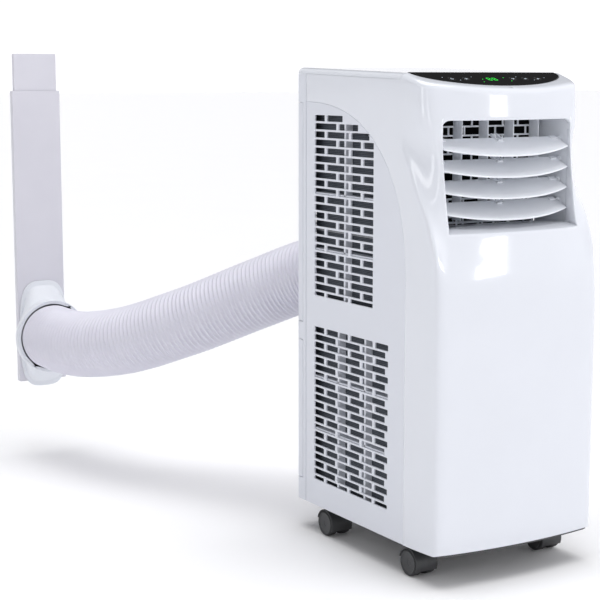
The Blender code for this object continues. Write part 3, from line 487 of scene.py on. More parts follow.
def light_studio():
    """A white studio, a large soft key over the right of the front, and small ones that draw the edges."""
    studio_world()
    bpy.context.scene.view_settings.view_transform = "Standard"
    area_light("key", (1.3, -2.4, 1.7), (0, 0, 0.4), (0.9, 0.9), 2)
    area_light("window", (1.18, -2.4, 0.95), (0, 0, 0.55), (0.45, 0.34), 4.0)
    area_light("left_strip", (-1.86, -1.75, 1.15), (-0.1, -0.14, 0.5), (0.20, 1.5), 2.6)
    area_light("side_strip", (-2.0, -0.45, 1.1), (-0.13, -0.10, 0.55), (0.35, 1.3), 4.0)
    data = bpy.data.lights.new("overhead", "SUN")
    data.energy = 1.75
    data.angle = math.radians(50)
    bpy.context.scene.collection.objects.link(bpy.data.objects.new("overhead", data))
    floor = bpy.data.objects.new("floor", bpy.data.meshes.new("floor"))
    bm = bmesh.new()
    bmesh.ops.create_grid(bm, x_segments=1, y_segments=1, size=60)
    bm.to_mesh(floor.data)
    bm.free()
    floor.data.materials.append(pale_floor())
    bpy.context.scene.collection.objects.link(floor)


place_camera()
light_studio()

# ---------------------------------------------------------------- helpers that make pieces


def finish_piece(name, bm, body, materials, replaces=(), sharp=38):
    """Turn a bmesh in the frame's coordinates into a piece that rides on a body."""
    mesh = bpy.data.meshes.new(name)
    bm.to_mesh(mesh)
    bm.free()
    for material in materials if isinstance(materials, (list, tuple)) else [materials]:
        mesh.materials.append(material)
    mesh.shade_smooth()
    mesh.set_sharp_from_angle(angle=math.radians(sharp))
    obj = bpy.data.objects.new(name, mesh)
    bpy.context.scene.collection.objects.link(obj)
    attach(obj, body)
    if replaces:
        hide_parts(*([replaces] if isinstance(replaces, str) else replaces))
    return obj


def add_wall(obj, thickness, edge=SEAM_ROUND):
    """Give a sheet its wall, inwards, and round the edges of the wall."""
    solid = obj.modifiers.new("Wall", "SOLIDIFY")
    solid.thickness = thickness
    solid.offset = -1
    add_round(obj, edge)


def add_round(obj, width, segments=2):
    """Round a piece's sharp edges."""
    bevel = obj.modifiers.new("Round", "BEVEL")
    bevel.width = width
    bevel.segments = segments
    bevel.limit_method = "ANGLE"
    bevel.angle_limit = math.radians(50)


def weld(bm, recalculate=True):
    """Merge doubles and turn the faces outwards."""
    bmesh.ops.remove_doubles(bm, verts=bm.verts, dist=mm(0.01))
    if recalculate:
        bmesh.ops.recalc_face_normals(bm, faces=bm.faces)
    return bm


def join(target, other, transform=None):
    """Add a bmesh to another one and free it."""
    mesh = bpy.data.meshes.new("joined")
    if transform is not None:
        other.transform(transform)
    other.to_mesh(mesh)
    other.free()
    target.from_mesh(mesh)
    bpy.data.meshes.remove(mesh)
    return target


def flat_sheet(outlines, thickness, edge=0.0):
    """A flat sheet in XY whose outer face is z = 0 and whose body is below. The first outline is its edge.

    The edge and the sides of each hole are chamfered by the edge width.
    """
    curve = bpy.data.curves.new("flat", "CURVE")
    curve.dimensions = "2D"
    curve.fill_mode = "BOTH"
    curve.extrude = thickness / 2 - edge
    curve.bevel_depth = edge
    curve.bevel_resolution = 0
    curve.offset = -edge
    for number, outline in enumerate(outlines):
        spline = curve.splines.new("POLY")
        spline.points.add(len(outline) - 1)
        for point, (u, v) in zip(spline.points, outline if number == 0 else reversed(outline)):
            point.co = (u, v, 0, 1)
        spline.use_cyclic_u = True
    obj = bpy.data.objects.new("flat", curve)
    bpy.context.scene.collection.objects.link(obj)
    bpy.context.view_layer.update()
    mesh = bpy.data.meshes.new_from_object(obj.evaluated_get(bpy.context.evaluated_depsgraph_get()))
    bm = bmesh.new()
    bm.from_mesh(mesh)
    bpy.data.objects.remove(obj)
    bpy.data.curves.remove(curve)
    bpy.data.meshes.remove(mesh)
    weld(bm)
    bmesh.ops.translate(bm, verts=bm.verts, vec=(0, 0, -thickness / 2))
    return bm


def block(low, high, edge=0.0, segments=2):
    """A box between two corners with its edges rounded."""
    bm = bmesh.new()
    bmesh.ops.create_cube(bm, size=1)
    bmesh.ops.scale(bm, vec=[b - a for a, b in zip(low, high)], verts=bm.verts)
    bmesh.ops.translate(bm, vec=[(a + b) / 2 for a, b in zip(low, high)], verts=bm.verts)
    if edge:
        bmesh.ops.bevel(
            bm, geom=bm.edges[:], offset=edge, affect="EDGES", segments=segments, profile=0.5, material=-1
        )
    return bm


def turned(profile, steps=48):
    """A solid of revolution about Z from a profile of (radius, z), whose ends on the axis are closed."""
    bm = bmesh.new()
    verts = [bm.verts.new((radius, 0, z)) for radius, z in profile]
    edges = [bm.edges.new(pair) for pair in zip(verts, verts[1:])]
    bmesh.ops.spin(
        bm, geom=verts + edges, cent=(0, 0, 0), axis=(0, 0, 1), angle=2 * math.pi, steps=steps, use_merge=True
    )
    return weld(bm)


def bridge_rings(rings, closed=False):
    """A tube through rings of equally many points, made by bridging each ring to the next."""
    bm = bmesh.new()
    loops = []
    for ring in rings:
        verts = [bm.verts.new(point) for point in ring]
        loops.append([bm.edges.new((a, b)) for a, b in zip(verts, verts[1:] + verts[:1])])
    pairs = list(zip(loops, loops[1:]))
    if closed:
        pairs.append((loops[-1], loops[0]))
    for first, second in pairs:
        bmesh.ops.bridge_loops(bm, edges=first + second)
    return bm


def arc(cx, cy, rx, ry, first, last, steps):
    """Points on an elliptical arc, with angles in degrees."""
    made = []
    for i in range(steps + 1):
        angle = math.radians(first + (last - first) * i / steps)
        made.append((cx + rx * math.cos(angle), cy + ry * math.sin(angle)))
    return made


def rounded(low_u, high_u, low_v, high_v, radius, steps=4):
    """The outline of a rectangle with round corners, anticlockwise."""
    corners = (
        (high_u - radius, low_v + radius, -90),
        (high_u - radius, high_v - radius, 0),
        (low_u + radius, high_v - radius, 90),
        (low_u + radius, low_v + radius, 180),
    )
    made = []
    for u, v, first in corners:
        made += arc(u, v, radius, radius, first, first + 90, steps)
    return made


def smooth_route(points, steps):
    """Points on a Catmull-Rom curve through the given ones."""
    places = [Vector(point) for point in points]
    places = [2 * places[0] - places[1], *places, 2 * places[-1] - places[-2]]
    made = []
    for i in range(1, len(places) - 2):
        before, here, there, after = places[i - 1 : i + 3]
        for step in range(steps):
            t = step / steps
            made.append(
                here
                + 0.5 * t * (there - before)
                + 0.5 * t**2 * (2 * before - 5 * here + 4 * there - after)
                + 0.5 * t**3 * (3 * here - before - 3 * there + after)
            )
    made.append(places[-2])
    return made


SIDES = (("left", -1), ("right", 1))

# Turns that stand a flat sheet up, with its outer face towards -Y, +Y, -X or +X
FACE_FRONT = Matrix(((1, 0, 0, 0), (0, 0, -1, 0), (0, 1, 0, 0), (0, 0, 0, 1)))
FACE_SIDE = {
    -1: Matrix(((0, 0, -1, 0), (-1, 0, 0, 0), (0, 1, 0, 0), (0, 0, 0, 1))),
    1: Matrix(((0, 0, 1, 0), (1, 0, 0, 0), (0, 1, 0, 0), (0, 0, 0, 1))),
}

# ---------------------------------------------------------------- exhaust hose and window kit

HOSE_TURN = 0.008
HOSE_WAVE = 0.0026
HOSE_SIDES = 56
RINGS_PER_TURN = 5


def along_route(points, spacing):
    """Points at an even spacing along a smooth route, with the direction at each."""
    fine = smooth_route(points, 24)
    lengths = [0.0]
    for a, b in zip(fine, fine[1:]):
        lengths.append(lengths[-1] + (b - a).length)
    count = round(lengths[-1] / spacing)
    marks = np.linspace(0, lengths[-1], count + 1)
    places = [Vector(p) for p in zip(*(np.interp(marks, lengths, [v[i] for v in fine]) for i in range(3)))]
    ways = [(b - a).normalized() for a, b in zip([places[0], *places], [*places[1:], places[-1]])]
    return places, ways, marks


def exhaust_hose():
    """The corrugated hose: a film on a spiral wire, so its crests climb round it like a thread."""
    places, ways, marks = along_route(HOSE_ROUTE, HOSE_TURN / RINGS_PER_TURN)
    rings = []
    across = Vector((1, 0, 0))
    for place, way, mark in zip(places, ways, marks):
        across = (across - way * across.dot(way)).normalized()
        up = way.cross(across)
        ring = []
        for i in range(HOSE_SIDES):
            angle = 2 * math.pi * i / HOSE_SIDES
            wave = 0.5 + 0.5 * math.cos(2 * math.pi * mark / HOSE_TURN - angle)
            radius = HOSE_DIAMETER / 2 - HOSE_WAVE * (1 - wave**1.6)
            ring.append(place + (across * math.cos(angle) + up * math.sin(angle)) * radius)
        rings.append(ring)
    bm = bridge_rings(rings)
    bmesh.ops.holes_fill(bm, edges=[edge for edge in bm.edges if edge.is_boundary], sides=0)
    hose = finish_piece("corrugated_hose", weld(bm), "cabinet", FILM, "exhaust_hose", 60)
    length = float(marks[-1])
    return hose, length


def lathe_ring(profile, centre, y, steps=72):
    """A ring about an axis along Y: the profile is a closed loop of (radius, distance behind y)."""
    rings = []
    for i in range(steps):
        angle = 2 * math.pi * i / steps
        rings.append(
            [(centre[0] + r * math.cos(angle), y + d, centre[1] + r * math.sin(angle)) for r, d in profile]
        )
    return bridge_rings(rings, closed=True)


def hose_collar():
    """The ring on the back that the hose is screwed into, with its flange and grip ribs."""
    low, high = COLLAR
    centre = ((low.x + high.x) / 2, (low.z + high.z) / 2)
    radius = (high.x - low.x) / 2
    depth = high.y - low.y
    profile = [(radius, 0.0), (radius, 0.0024), (radius - 0.0006, 0.0030), (0.0650, 0.0034), (0.0640, 0.0042)]
    profile += [(0.0632, depth - 0.0010), (0.0624, depth), (0.0600, depth), (0.0592, depth - 0.0010)]
    profile += [(0.0588, 0.0020), (0.0535, 0.0018), (0.0535, 0.0)]
    bm = lathe_ring(profile, centre, low.y)
    ribs = 36
    for i in range(ribs):
        rib = block((0.0628, 0.0036, -0.0011), (0.0650, depth - 0.0004, 0.0011), 0.0004, 1)
        turn = Matrix.Rotation(2 * math.pi * i / ribs, 4, "Y")
        join(bm, rib, Matrix.Translation((centre[0], low.y, centre[1])) @ turn)
    return finish_piece("threaded_collar", weld(bm), "cabinet", KIT, "hose_collar")


def oval(half_width, half_height, place, sides=72):
    """A ring across Y that is round when its halves are equal and squarer as it gets longer."""
    power = 2 + 1.2 * (half_height / half_width - 1)
    made = []
    for i in range(sides):
        angle = 2 * math.pi * i / sides
        across = math.cos(angle)
        up = math.sin(angle)
        reach = (abs(across) ** power + abs(up) ** power) ** (-1 / power)
        made.append(place + Vector((half_width * across * reach, 0, half_height * up * reach)))
    return made


def window_adapter():
    """The duct piece that turns from the round hose to the oval slot of the window strip."""
    low, high = ADAPTER
    middle = Vector(((low.x + high.x) / 2, high.y, (low.z + high.z) / 2))
    ring = (high.x - low.x) / 2
    mouth = low.y - high.y
    outside = [(ring - 0.0012, ring - 0.0012, mouth), (ring, ring, mouth + 0.0012), (ring, ring, mouth + 0.0100)]
    outside += [(ring - 0.0012, ring - 0.0012, mouth + 0.0112), (0.0606, 0.0612, mouth + 0.0122)]
    outside += [(0.0596, 0.0640, -0.0290), (0.0560, 0.0690, -0.0235), (0.0480, 0.0760, -0.0170)]
    outside += [(0.0430, 0.0830, -0.0110), (0.0408, 0.0872, -0.0070), (0.0400, 0.0890, -0.0046)]
    outside += [(0.0404, 0.0900, -0.0040), (0.0440, 0.0968, -0.0038), (0.0448, 0.0978, -0.0030)]
    outside += [(0.0448, 0.0978, -0.0004)]
    inside = [(0.0370, 0.0850, -0.0004), (0.0375, 0.0830, -0.0080), (0.0440, 0.0720, -0.0170)]
    inside += [(0.0560, 0.0600, -0.0300), (0.0585, 0.0585, mouth + 0.0120), (0.0590, 0.0590, mouth + 0.0012)]
    inside += [(0.0598, 0.0598, mouth)]
    rings = [oval(a, b, middle + Vector((0, step, 0))) for a, b, step in outside + inside]
    bm = bridge_rings(rings, closed=True)
    return finish_piece("duct_adapter", weld(bm), "cabinet", KIT, "window_adapter", 45)


def window_strips():
    """The outer strip with its slot and the inner strip that slides in it, as folded channels."""
    wall = 0.0018
    low, high = ADAPTER
    hole = [(p.x, p.z) for p in oval(0.0350, 0.0840, Vector(((low.x + high.x) / 2, 0, (low.z + high.z) / 2)), 40)]
    made = []
    rows = (
        ("slotted_window_strip", OUTER_STRIP, "cabinet", "window_panel_outer"),
        ("sliding_window_strip", INNER_STRIP, "inner_strip", "window_panel_inner"),
    )
    for name, (low, high), body, node in rows:
        outline = rounded(low.x, high.x, low.z, high.z, 0.0012, 2)
        front = flat_sheet([outline, hole] if body == "cabinet" else [outline], wall, 0.0004)
        bm = join(bmesh.new(), front, Matrix.Translation((0, low.y, 0)) @ FACE_FRONT)
        for x in (low.x + 0.00004, high.x - wall - 0.00004):
            join(bm, block((x, low.y + wall - 0.0002, low.z + 0.0004), (x + wall, high.y, high.z - 0.0004), 0.0003, 1))
        if body == "cabinet":
            for x in (low.x + wall, high.x - wall - 0.0016):
                join(bm, block((x, high.y - 0.0016, low.z + 0.001), (x + 0.0016, high.y - 0.0002, high.z - 0.001), 0.0003, 1))
        made.append(finish_piece(name, bm, body, STRIP, node))
    return made


hose, hose_length = exhaust_hose()
hose_ends = [hose_collar(), window_adapter()]
window_strips()

# ---------------------------------------------------------------- the front shell's surface


@lru_cache(maxsize=None)
def plan_at(z):
    """The plan's values at a height, smoothly between the rows."""
    heights = [row[0] for row in PLAN]
    i = min(max(np.searchsorted(heights, z) - 1, 0), len(PLAN) - 2)
    step = heights[i + 1] - heights[i]
    t = min(max((z - heights[i]) / step, 0.0), 1.0)
    made = []
    for k in range(1, len(PLAN[0])):
        here, there = PLAN[i][k], PLAN[i + 1][k]
        slopes = []
        for j in (i, i + 1):
            a, b = max(j - 1, 0), min(j + 1, len(PLAN) - 1)
            slopes.append((PLAN[b][k] - PLAN[a][k]) / (heights[b] - heights[a]))
        blend = 3 * t**2 - 2 * t**3
        bend = slopes[0] * (t**3 - 2 * t**2 + t) + slopes[1] * (t**3 - t**2)
        made.append(here + (there - here) * blend + step * bend)
    return made


SECTION_STEP = 0.0015
RIDGE_PASSES = 7


@lru_cache(maxsize=None)
def section(z):
    """The right half of the plan at a height, from the front's middle to the rear seam.

    It returns the distances along it, x, y, and the distance at which the ridge lies.
    """
    front, ridge, half_front, bow, turn, fullness = plan_at(z)
    turn = math.radians(max(turn, 0.0))
    t = np.linspace(0, 1, 50)
    xs = half_front * t
    ys = front + bow * t**2
    start = np.array((xs[-1], ys[-1]))
    end = np.array((HALF_WIDTH, ridge))
    lean = np.array((1.0, 2 * bow / half_front))
    reach = end - start
    from_start = start + lean / np.linalg.norm(lean) * (fullness * reach[0])
    hold = fullness * abs(reach[1]) * math.cos(turn) ** 2 + 0.30 * reach[0] * math.sin(turn)
    from_end = end - np.array((math.sin(turn), math.cos(turn))) * hold
    t = np.linspace(0, 1, 60)[1:, None]
    corner = (1 - t) ** 3 * start + 3 * (1 - t) ** 2 * t * from_start + 3 * (1 - t) * t**2 * from_end + t**3 * end
    xs = np.concatenate([xs, corner[:, 0], [HALF_WIDTH]])
    ys = np.concatenate([ys, corner[:, 1], [REAR_SEAM]])
    lengths = np.concatenate([[0], np.cumsum(np.hypot(np.diff(xs), np.diff(ys)))])
    even = np.linspace(0, lengths[-1], round(lengths[-1] / SECTION_STEP) + 1)
    xs, ys = np.interp(even, lengths, xs), np.interp(even, lengths, ys)
    for _ in range(RIDGE_PASSES):
        xs[1:-1] = (xs[:-2] + 2 * xs[1:-1] + xs[2:]) / 4
        ys[1:-1] = (ys[:-2] + 2 * ys[1:-1] + ys[2:]) / 4
    return even, xs, ys, lengths[-2]


def on_section(z, distance):
    """The point at a distance along the plan at a height."""
    even, xs, ys, _ = section(round(z, 5))
    return Vector((np.interp(distance, even, xs), np.interp(distance, even, ys), z))


def distance_at(z, x=None, y=None):
    """The distance along the plan at which it reaches an x, or a y."""
    even, xs, ys, _ = section(round(z, 5))
    if x is not None:
        return float(np.interp(x, xs[: np.argmax(xs)], even[: np.argmax(xs)]))
    return float(np.interp(y, ys[20:], even[20:]))


def outward(z, distance):
    """The plan's outward normal."""
    ahead = on_section(z, distance + 0.002) - on_section(z, max(distance - 0.002, 0.0))
    return Vector((ahead.y, -ahead.x, 0)).normalized()


def top_plane(y):
    """The height of the top at a y: the control slope, then the lid's flatter slope."""
    slope = CONTROL_SLOPE if y < CONTROL_EDGE[0] else LID_SLOPE
    return CONTROL_EDGE[1] + slope * (y - CONTROL_EDGE[0])


def ease(t):
    """A smooth step from 0 to 1."""
    t = min(max(t, 0.0), 1.0)
    return t * t * (3 - 2 * t)


def seam_y(z):
    """Where the front shell's surface hands over to its arms, which run back above the side panels."""
    return SEAM_FRONT + (LID_FRONT - SEAM_GAP - SEAM_FRONT) * ease((z - SEAM_KNEE) / 0.27)


def fascia_point(share, grow=0.0):
    """A point on the fascia's front edge, from its middle to its tip, and on to its rear edge past 1."""
    slant = math.hypot(1, CONTROL_SLOPE)
    tip = 0.94
    if share <= tip:
        across = math.sin(share / tip * math.pi / 2)
        down = FASCIA_TIP + grow + FASCIA_DEPTH * (1 - across**2) ** 0.6
    else:
        across = 1.0
        down = (FASCIA_TIP + grow) * (1 - share) / (1 - tip) - 0.0034 * (share - tip) / (1 - tip)
    y = CONTROL_EDGE[0] - down / slant
    return Vector(((FASCIA_HALF + grow) * across, y, CONTROL_EDGE[1] - CONTROL_SLOPE * down / slant))


FRONT_COLUMNS = (16, 18, 10)
CORNER_COLUMNS = 6
WALL_ROWS = (14, 16, 26, 9)
ROUND_ROWS = 7
SLOPE_ROWS = 4


def column_distance(column, z):
    """The distance along the plan of a column of the grid."""
    face, flank, rest = FRONT_COLUMNS
    at_vent = distance_at(z, x=VENT_HALF)
    at_seam = distance_at(z, y=seam_y(z))
    at_ridge = min(max(section(round(z, 5))[3], at_vent + 0.014), at_seam - 0.010)
    if column <= face:
        plain = face - CORNER_COLUMNS
        corner = VENT_TOP_CORNER / VENT_HALF
        if column <= plain:
            return at_vent * (1 - corner) * column / plain
        angle = (column - plain) / CORNER_COLUMNS * math.pi / 2
        return at_vent * (1 - corner + corner * math.sin(angle))
    if column <= face + flank:
        return at_vent + (at_ridge - at_vent) * (column - face) / flank
    return at_ridge + (at_seam - at_ridge) * (column - face - flank) / rest


def corner_drop(column, radius, fade):
    """How far a round corner of the air outlet moves a column off the straight edge."""
    face = FRONT_COLUMNS[0]
    if column <= face:
        share = column_distance(column, VENT_HIGH) / column_distance(face, VENT_HIGH) * VENT_HALF
        past = max(share - (VENT_HALF - radius), 0.0)
        return radius - math.sqrt(max(radius**2 - past**2, 0.0))
    return radius * (1 - ease((column - face) / fade))


def row_height(row, column, top):
    """The height of a row of the grid at a column, up to where the top starts to round over."""
    face, flank, rest = FRONT_COLUMNS
    past_ridge = ease((column - face - flank / 2) / (flank / 2 + rest))
    marks = [
        UNDERSIDE + SKIRT_LIFT * (1 - past_ridge),
        SEAM_KNEE,
        VENT_LOW + corner_drop(column, VENT_LOW_CORNER, 5),
        VENT_HIGH - corner_drop(column, VENT_TOP_CORNER, 12),
        top,
    ]
    for i, count in enumerate(WALL_ROWS):
        if row <= count:
            return marks[i] + (marks[i + 1] - marks[i]) * row / count
        row -= count
    return top


def wall_top(column):
    """The height at which a column starts to round over, found by stepping to it."""
    top = 0.67
    for _ in range(4):
        y = on_section(top, column_distance(column, top)).y
        top = top_plane(y) - TOP_ROUND
    return top


def front_columns():
    """Each column of the right half's grid as its points, from the bottom edge to the fascia."""
    columns = []
    total = sum(FRONT_COLUMNS)
    for column in range(total + 1):
        top = wall_top(column)
        points = []
        for row in range(sum(WALL_ROWS) + 1):
            z = row_height(row, column, top)
            points.append(on_section(z, column_distance(column, z)))
        distance = column_distance(column, top)
        base, normal = points[-1], outward(top, distance)
        if column == total:
            normal = Vector((1, 0, 0))
        for k in range(1, ROUND_ROWS + 1):
            angle = k / ROUND_ROWS * math.pi / 2
            place = base - normal * TOP_ROUND * (1 - math.cos(angle))
            place.z = top_plane(place.y) - TOP_ROUND * (1 - math.sin(angle))
            points.append(place)
        inner, edge = points[-1], fascia_point(column / total, SEAM_GAP)
        for k in range(1, SLOPE_ROWS + 1):
            place = inner.lerp(edge, k / SLOPE_ROWS)
            place.z = top_plane(place.y)
            points.append(place)
        columns.append(points)
    return columns


def seam_point(share):
    """A point on the curved seam over a side panel, from its front knee (0) to the rear seam (1)."""
    reach = math.cos(share * math.pi / 2)
    rise = (1 - reach**SEAM_POWER) ** (1 / SEAM_POWER)
    y = REAR_SEAM + (SEAM_FRONT - REAR_SEAM) * reach
    return y, SEAM_KNEE + (SEAM_TOP - SEAM_KNEE) * rise


ARM_COLUMNS = 34


def arm_columns(edge):
    """The arm above a side panel: columns of points from the shell's last column back to the rear seam."""
    rows = len(edge) - 1
    back = REAR_SEAM - SEAM_GAP
    top_z = edge[-1].z
    columns = []
    for i in range(1, ARM_COLUMNS + 1):
        a = i / ARM_COLUMNS
        low_y, low_z = seam_point(a)
        low_y = min(low_y, back)
        high_y = edge[-1].y + (back - edge[-1].y) * a
        high_z = top_z + LID_SLOPE * (high_y - edge[-1].y)
        points = []
        for j, side in enumerate(edge):
            b = j / rows
            straight_y = edge[0].y + (edge[-1].y - edge[0].y) * b
            straight_z = edge[0].z + (edge[-1].z - edge[0].z) * b
            y = low_y + (high_y - low_y) * b + (1 - a) * (side.y - straight_y)
            z = low_z + (high_z - low_z) * b + (1 - a) * (side.z - straight_z)
            x = on_section(z, distance_at(z, y=y)).x
            points.append(Vector((x, y, z)))
        columns.append(points)
    return columns


def grid_faces(bm, columns, skip=()):
    """Lay a grid of points as quads, leaving out the cells whose (column, row) is in skip."""
    made = [[bm.verts.new(point) for point in column] for column in columns]
    for i, (left, right) in enumerate(zip(made, made[1:])):
        for j in range(len(left) - 1):
            if (i, j) not in skip:
                bm.faces.new((left[j], right[j], right[j + 1], left[j + 1]))
    return made


def curl_in(bm, edges, radius, steps, back, slope):
    """Roll the edge of an opening inwards, then run its wall straight back; the sill rises by the slope."""
    loop = {vert for edge in edges for vert in edge.verts}
    start = {}
    for vert in loop:
        outer = [e.other_vert(vert).co for e in vert.link_edges if e.other_vert(vert) not in loop]
        away = sum(outer, Vector()) / max(len(outer), 1)
        start[vert] = (vert.co.copy(), (vert.co - away).normalized())
    current = {vert: vert for vert in loop}
    ring = list(edges)
    for k in range(1, steps + 4):
        made = bmesh.ops.extrude_edge_only(bm, edges=ring)["geom"]
        fresh = [item for item in made if isinstance(item, bmesh.types.BMVert)]
        near = {}
        for vert in fresh:
            old = next(e.other_vert(vert) for e in vert.link_edges if e.other_vert(vert) not in fresh)
            near[old] = vert
        angle = min(k / steps, 1.0) * math.pi / 2
        for vert in loop:
            place, way = start[vert]
            moved = place + way * radius * math.sin(angle) + Vector((0, radius * (1 - math.cos(angle)), 0))
            if k > steps:
                moved.y += (back - moved.y) * (k - steps) / 3
            depth = moved.y - place.y
            if way.z > 0.8:
                moved.z += slope * depth * ease((way.z - 0.8) / 0.15)
            near[current[vert]].co = moved
            current[vert] = near[current[vert]]
        ring = [item for item in made if isinstance(item, bmesh.types.BMEdge)]
        ring = [e for e in ring if all(v in fresh for v in e.verts)]


def front_shell():
    """The gloss front: face, ridges, brow, control slope and the arms over the side panels, in one sheet."""
    bm = bmesh.new()
    columns = front_columns()
    face = FRONT_COLUMNS[0]
    first = WALL_ROWS[0] + WALL_ROWS[1]
    hole = {(i, j) for i in range(face) for j in range(first, first + WALL_ROWS[2])}
    made = grid_faces(bm, columns, hole)
    arm_rows = slice(WALL_ROWS[0], sum(WALL_ROWS) + 1)
    arms = arm_columns(columns[-1][arm_rows])
    verts = [made[-1][arm_rows]] + [[bm.verts.new(point) for point in column] for column in arms]
    for left, right in zip(verts, verts[1:]):
        for j in range(len(left) - 1):
            bm.faces.new((left[j], right[j], right[j + 1], left[j + 1]))
    geom = bm.verts[:] + bm.edges[:] + bm.faces[:]
    bmesh.ops.mirror(bm, geom=geom, axis="X", merge_dist=mm(0.05))
    weld(bm)
    loose = [vert for vert in bm.verts if not vert.link_faces]
    bmesh.ops.delete(bm, geom=loose, context="VERTS")
    rim = [e for e in bm.edges if e.is_boundary and VENT_LOW - 0.001 < e.verts[0].co.z < VENT_HIGH + 0.001]
    rim = [e for e in rim if all(abs(v.co.x) < VENT_HALF + 0.001 and v.co.y < -0.1 for v in e.verts)]
    curl_in(bm, rim, VENT_LIP, 5, THROAT_BACK, SILL_SLOPE)
    bmesh.ops.recalc_face_normals(bm, faces=bm.faces)
    if min(bm.faces, key=lambda face: face.calc_center_median().y).normal.y > 0:
        bmesh.ops.reverse_faces(bm, faces=bm.faces)
    bm.normal_update()
    sides = [face for face in bm.faces if abs(face.calc_center_median().x) > HALF_WIDTH - mm(0.3)]
    inward = [face for face in sides if face.normal.x * face.calc_center_median().x < 0]
    bmesh.ops.reverse_faces(bm, faces=inward)
    shell = finish_piece("gloss_front_shell", bm, "cabinet", GLOSS, "front_shell", 50)
    add_wall(shell, SHELL_WALL)
    return shell


front_shell()

# ---------------------------------------------------------------- side panels

SIDE_WALL = 0.0030
GRILLE_BACK = 0.133
BAR = 0.0060
FULL_SLOT = 0.0580
HALF_SLOT = 0.0268
RIB_DEPTH = 0.012


def brick_rows(low, high, rows, front, short_rows, even_end):
    """Rows of slots laid like bricks, as (back, front, low, high) from the back of a side towards its front.

    Odd rows, counted from the top, start with a half slot. The last row is a low one.
    """
    pitch = (high - low) / rows
    made = []
    for row in range(rows):
        top = high - pitch * row
        bottom = top - pitch * 0.75
        if row + 1 == rows:
            bottom += pitch * 0.25
        stop = short_rows.get(row, front + even_end * (row % 2))
        at = GRILLE_BACK
        widths = [HALF_SLOT] + [FULL_SLOT] * 4 if row % 2 == 0 else [FULL_SLOT] * 5
        for width in widths:
            end = max(at - width, stop)
            if at - end > 0.010:
                made.append((at, end, bottom, top))
            at = end - BAR
            if end <= stop:
                break
    return made


GRILLES = (
    brick_rows(0.360, 0.631, 23, -0.021, {0: 0.0585, 1: 0.0185, 2: -0.010}, 0.0),
    brick_rows(0.080, 0.319, 21, -0.060, {}, 0.0055),
)
# For each grille: lowest and highest z of its ribs, y of the upright ones, pitch, and rows with a level one
GRILLE_RIBS = (
    (0.353, 0.638, (0.0555,), 0.271 / 23, (10, 17)),
    (0.074, 0.325, (0.0710, 0.0010), 0.239 / 21, (7, 14)),
)


def nicked(low_u, high_u, low_v, high_v, nick=0.0008):
    """The outline of a small rectangle with its corners cut off, anticlockwise."""
    return [
        (low_u + nick, low_v),
        (high_u - nick, low_v),
        (high_u, low_v + nick),
        (high_u, high_v - nick),
        (high_u - nick, high_v),
        (low_u + nick, high_v),
        (low_u, high_v - nick),
        (low_u, low_v + nick),
    ]


def side_outline(shrink):
    """A side panel's outline in side view, as (y, z), shrunk by a margin."""
    back = REAR_SEAM - shrink
    points = [(back, UNDERSIDE), (back, SEAM_TOP - shrink)]
    for i in range(24, -1, -1):
        y, z = seam_point(i / 24)
        if y < back - 0.002:
            points.append((y + shrink * 0.9, z - shrink * 0.9))
    return [*points, (SEAM_FRONT + shrink, UNDERSIDE)]


def grow_outline(outline, grow):
    """Push an outline away from its middle on each axis."""
    middle = [(min(values) + max(values)) / 2 for values in zip(*outline)]
    half = [(max(values) - min(values)) / 2 for values in zip(*outline)]
    return [tuple(m + (v - m) * (h + grow) / h for v, m, h in zip(point, middle, half)) for point in outline]


def side_panel(side, sign):
    """A grilled side panel with the ribs behind its slots and the lip that closes its seam."""
    outline = [(sign * y, z) for y, z in side_outline(SEAM_GAP / 2)]
    outline = outline if sign > 0 else outline[::-1]
    holes = []
    for grille in GRILLES:
        for back, front, low, high in grille:
            ends = sorted((sign * back, sign * front))
            holes.append(nicked(*ends, low, high))
    place = Matrix.Translation((sign * HALF_WIDTH, 0, 0)) @ FACE_SIDE[sign]
    bm = join(bmesh.new(), flat_sheet([outline, *holes], SIDE_WALL, 0.0005), place)
    lip = [(y, max(z, UNDERSIDE)) for y, z in grow_outline(outline, 0.0035)]
    inner = grow_outline(outline, -0.0060)
    place = Matrix.Translation((sign * (HALF_WIDTH - SIDE_WALL + 0.0001), 0, 0)) @ FACE_SIDE[sign]
    join(bm, flat_sheet([lip, inner], 0.0012), place)
    outer = HALF_WIDTH - SIDE_WALL + 0.0002
    across = sorted((sign * outer, sign * (outer - RIB_DEPTH)))
    behind = sorted((sign * (outer - RIB_DEPTH - 0.0002), sign * (outer - RIB_DEPTH - 0.0012)))
    for (low, high, ribs, pitch, rows), grille in zip(GRILLE_RIBS, GRILLES):
        front = min(slot[1] for slot in grille) - 0.003
        top = max(slot[3] for slot in grille)
        for y in ribs:
            join(bm, block((across[0], y - 0.0022, low), (across[1], y + 0.0022, high), 0.0005, 1))
        for row in rows:
            z = top - pitch * (row - 0.25)
            join(bm, block((across[0], front, z), (across[1], GRILLE_BACK + 0.003, z + 0.0026), 0.0004, 1))
        net = block((behind[0], front - 0.020, low), (behind[1], GRILLE_BACK + 0.019, high), 0.0003, 1)
        finish_piece(f"side_net_{side}_{len(ribs)}", net, "cabinet", NET)
    finish_piece(f"grille_panel_{side}", bm, "cabinet", TEXTURED, f"side_panel_{side}", 30)


for side, sign in SIDES:
    side_panel(side, sign)

# ---------------------------------------------------------------- the lid

LID_RINGS = 7


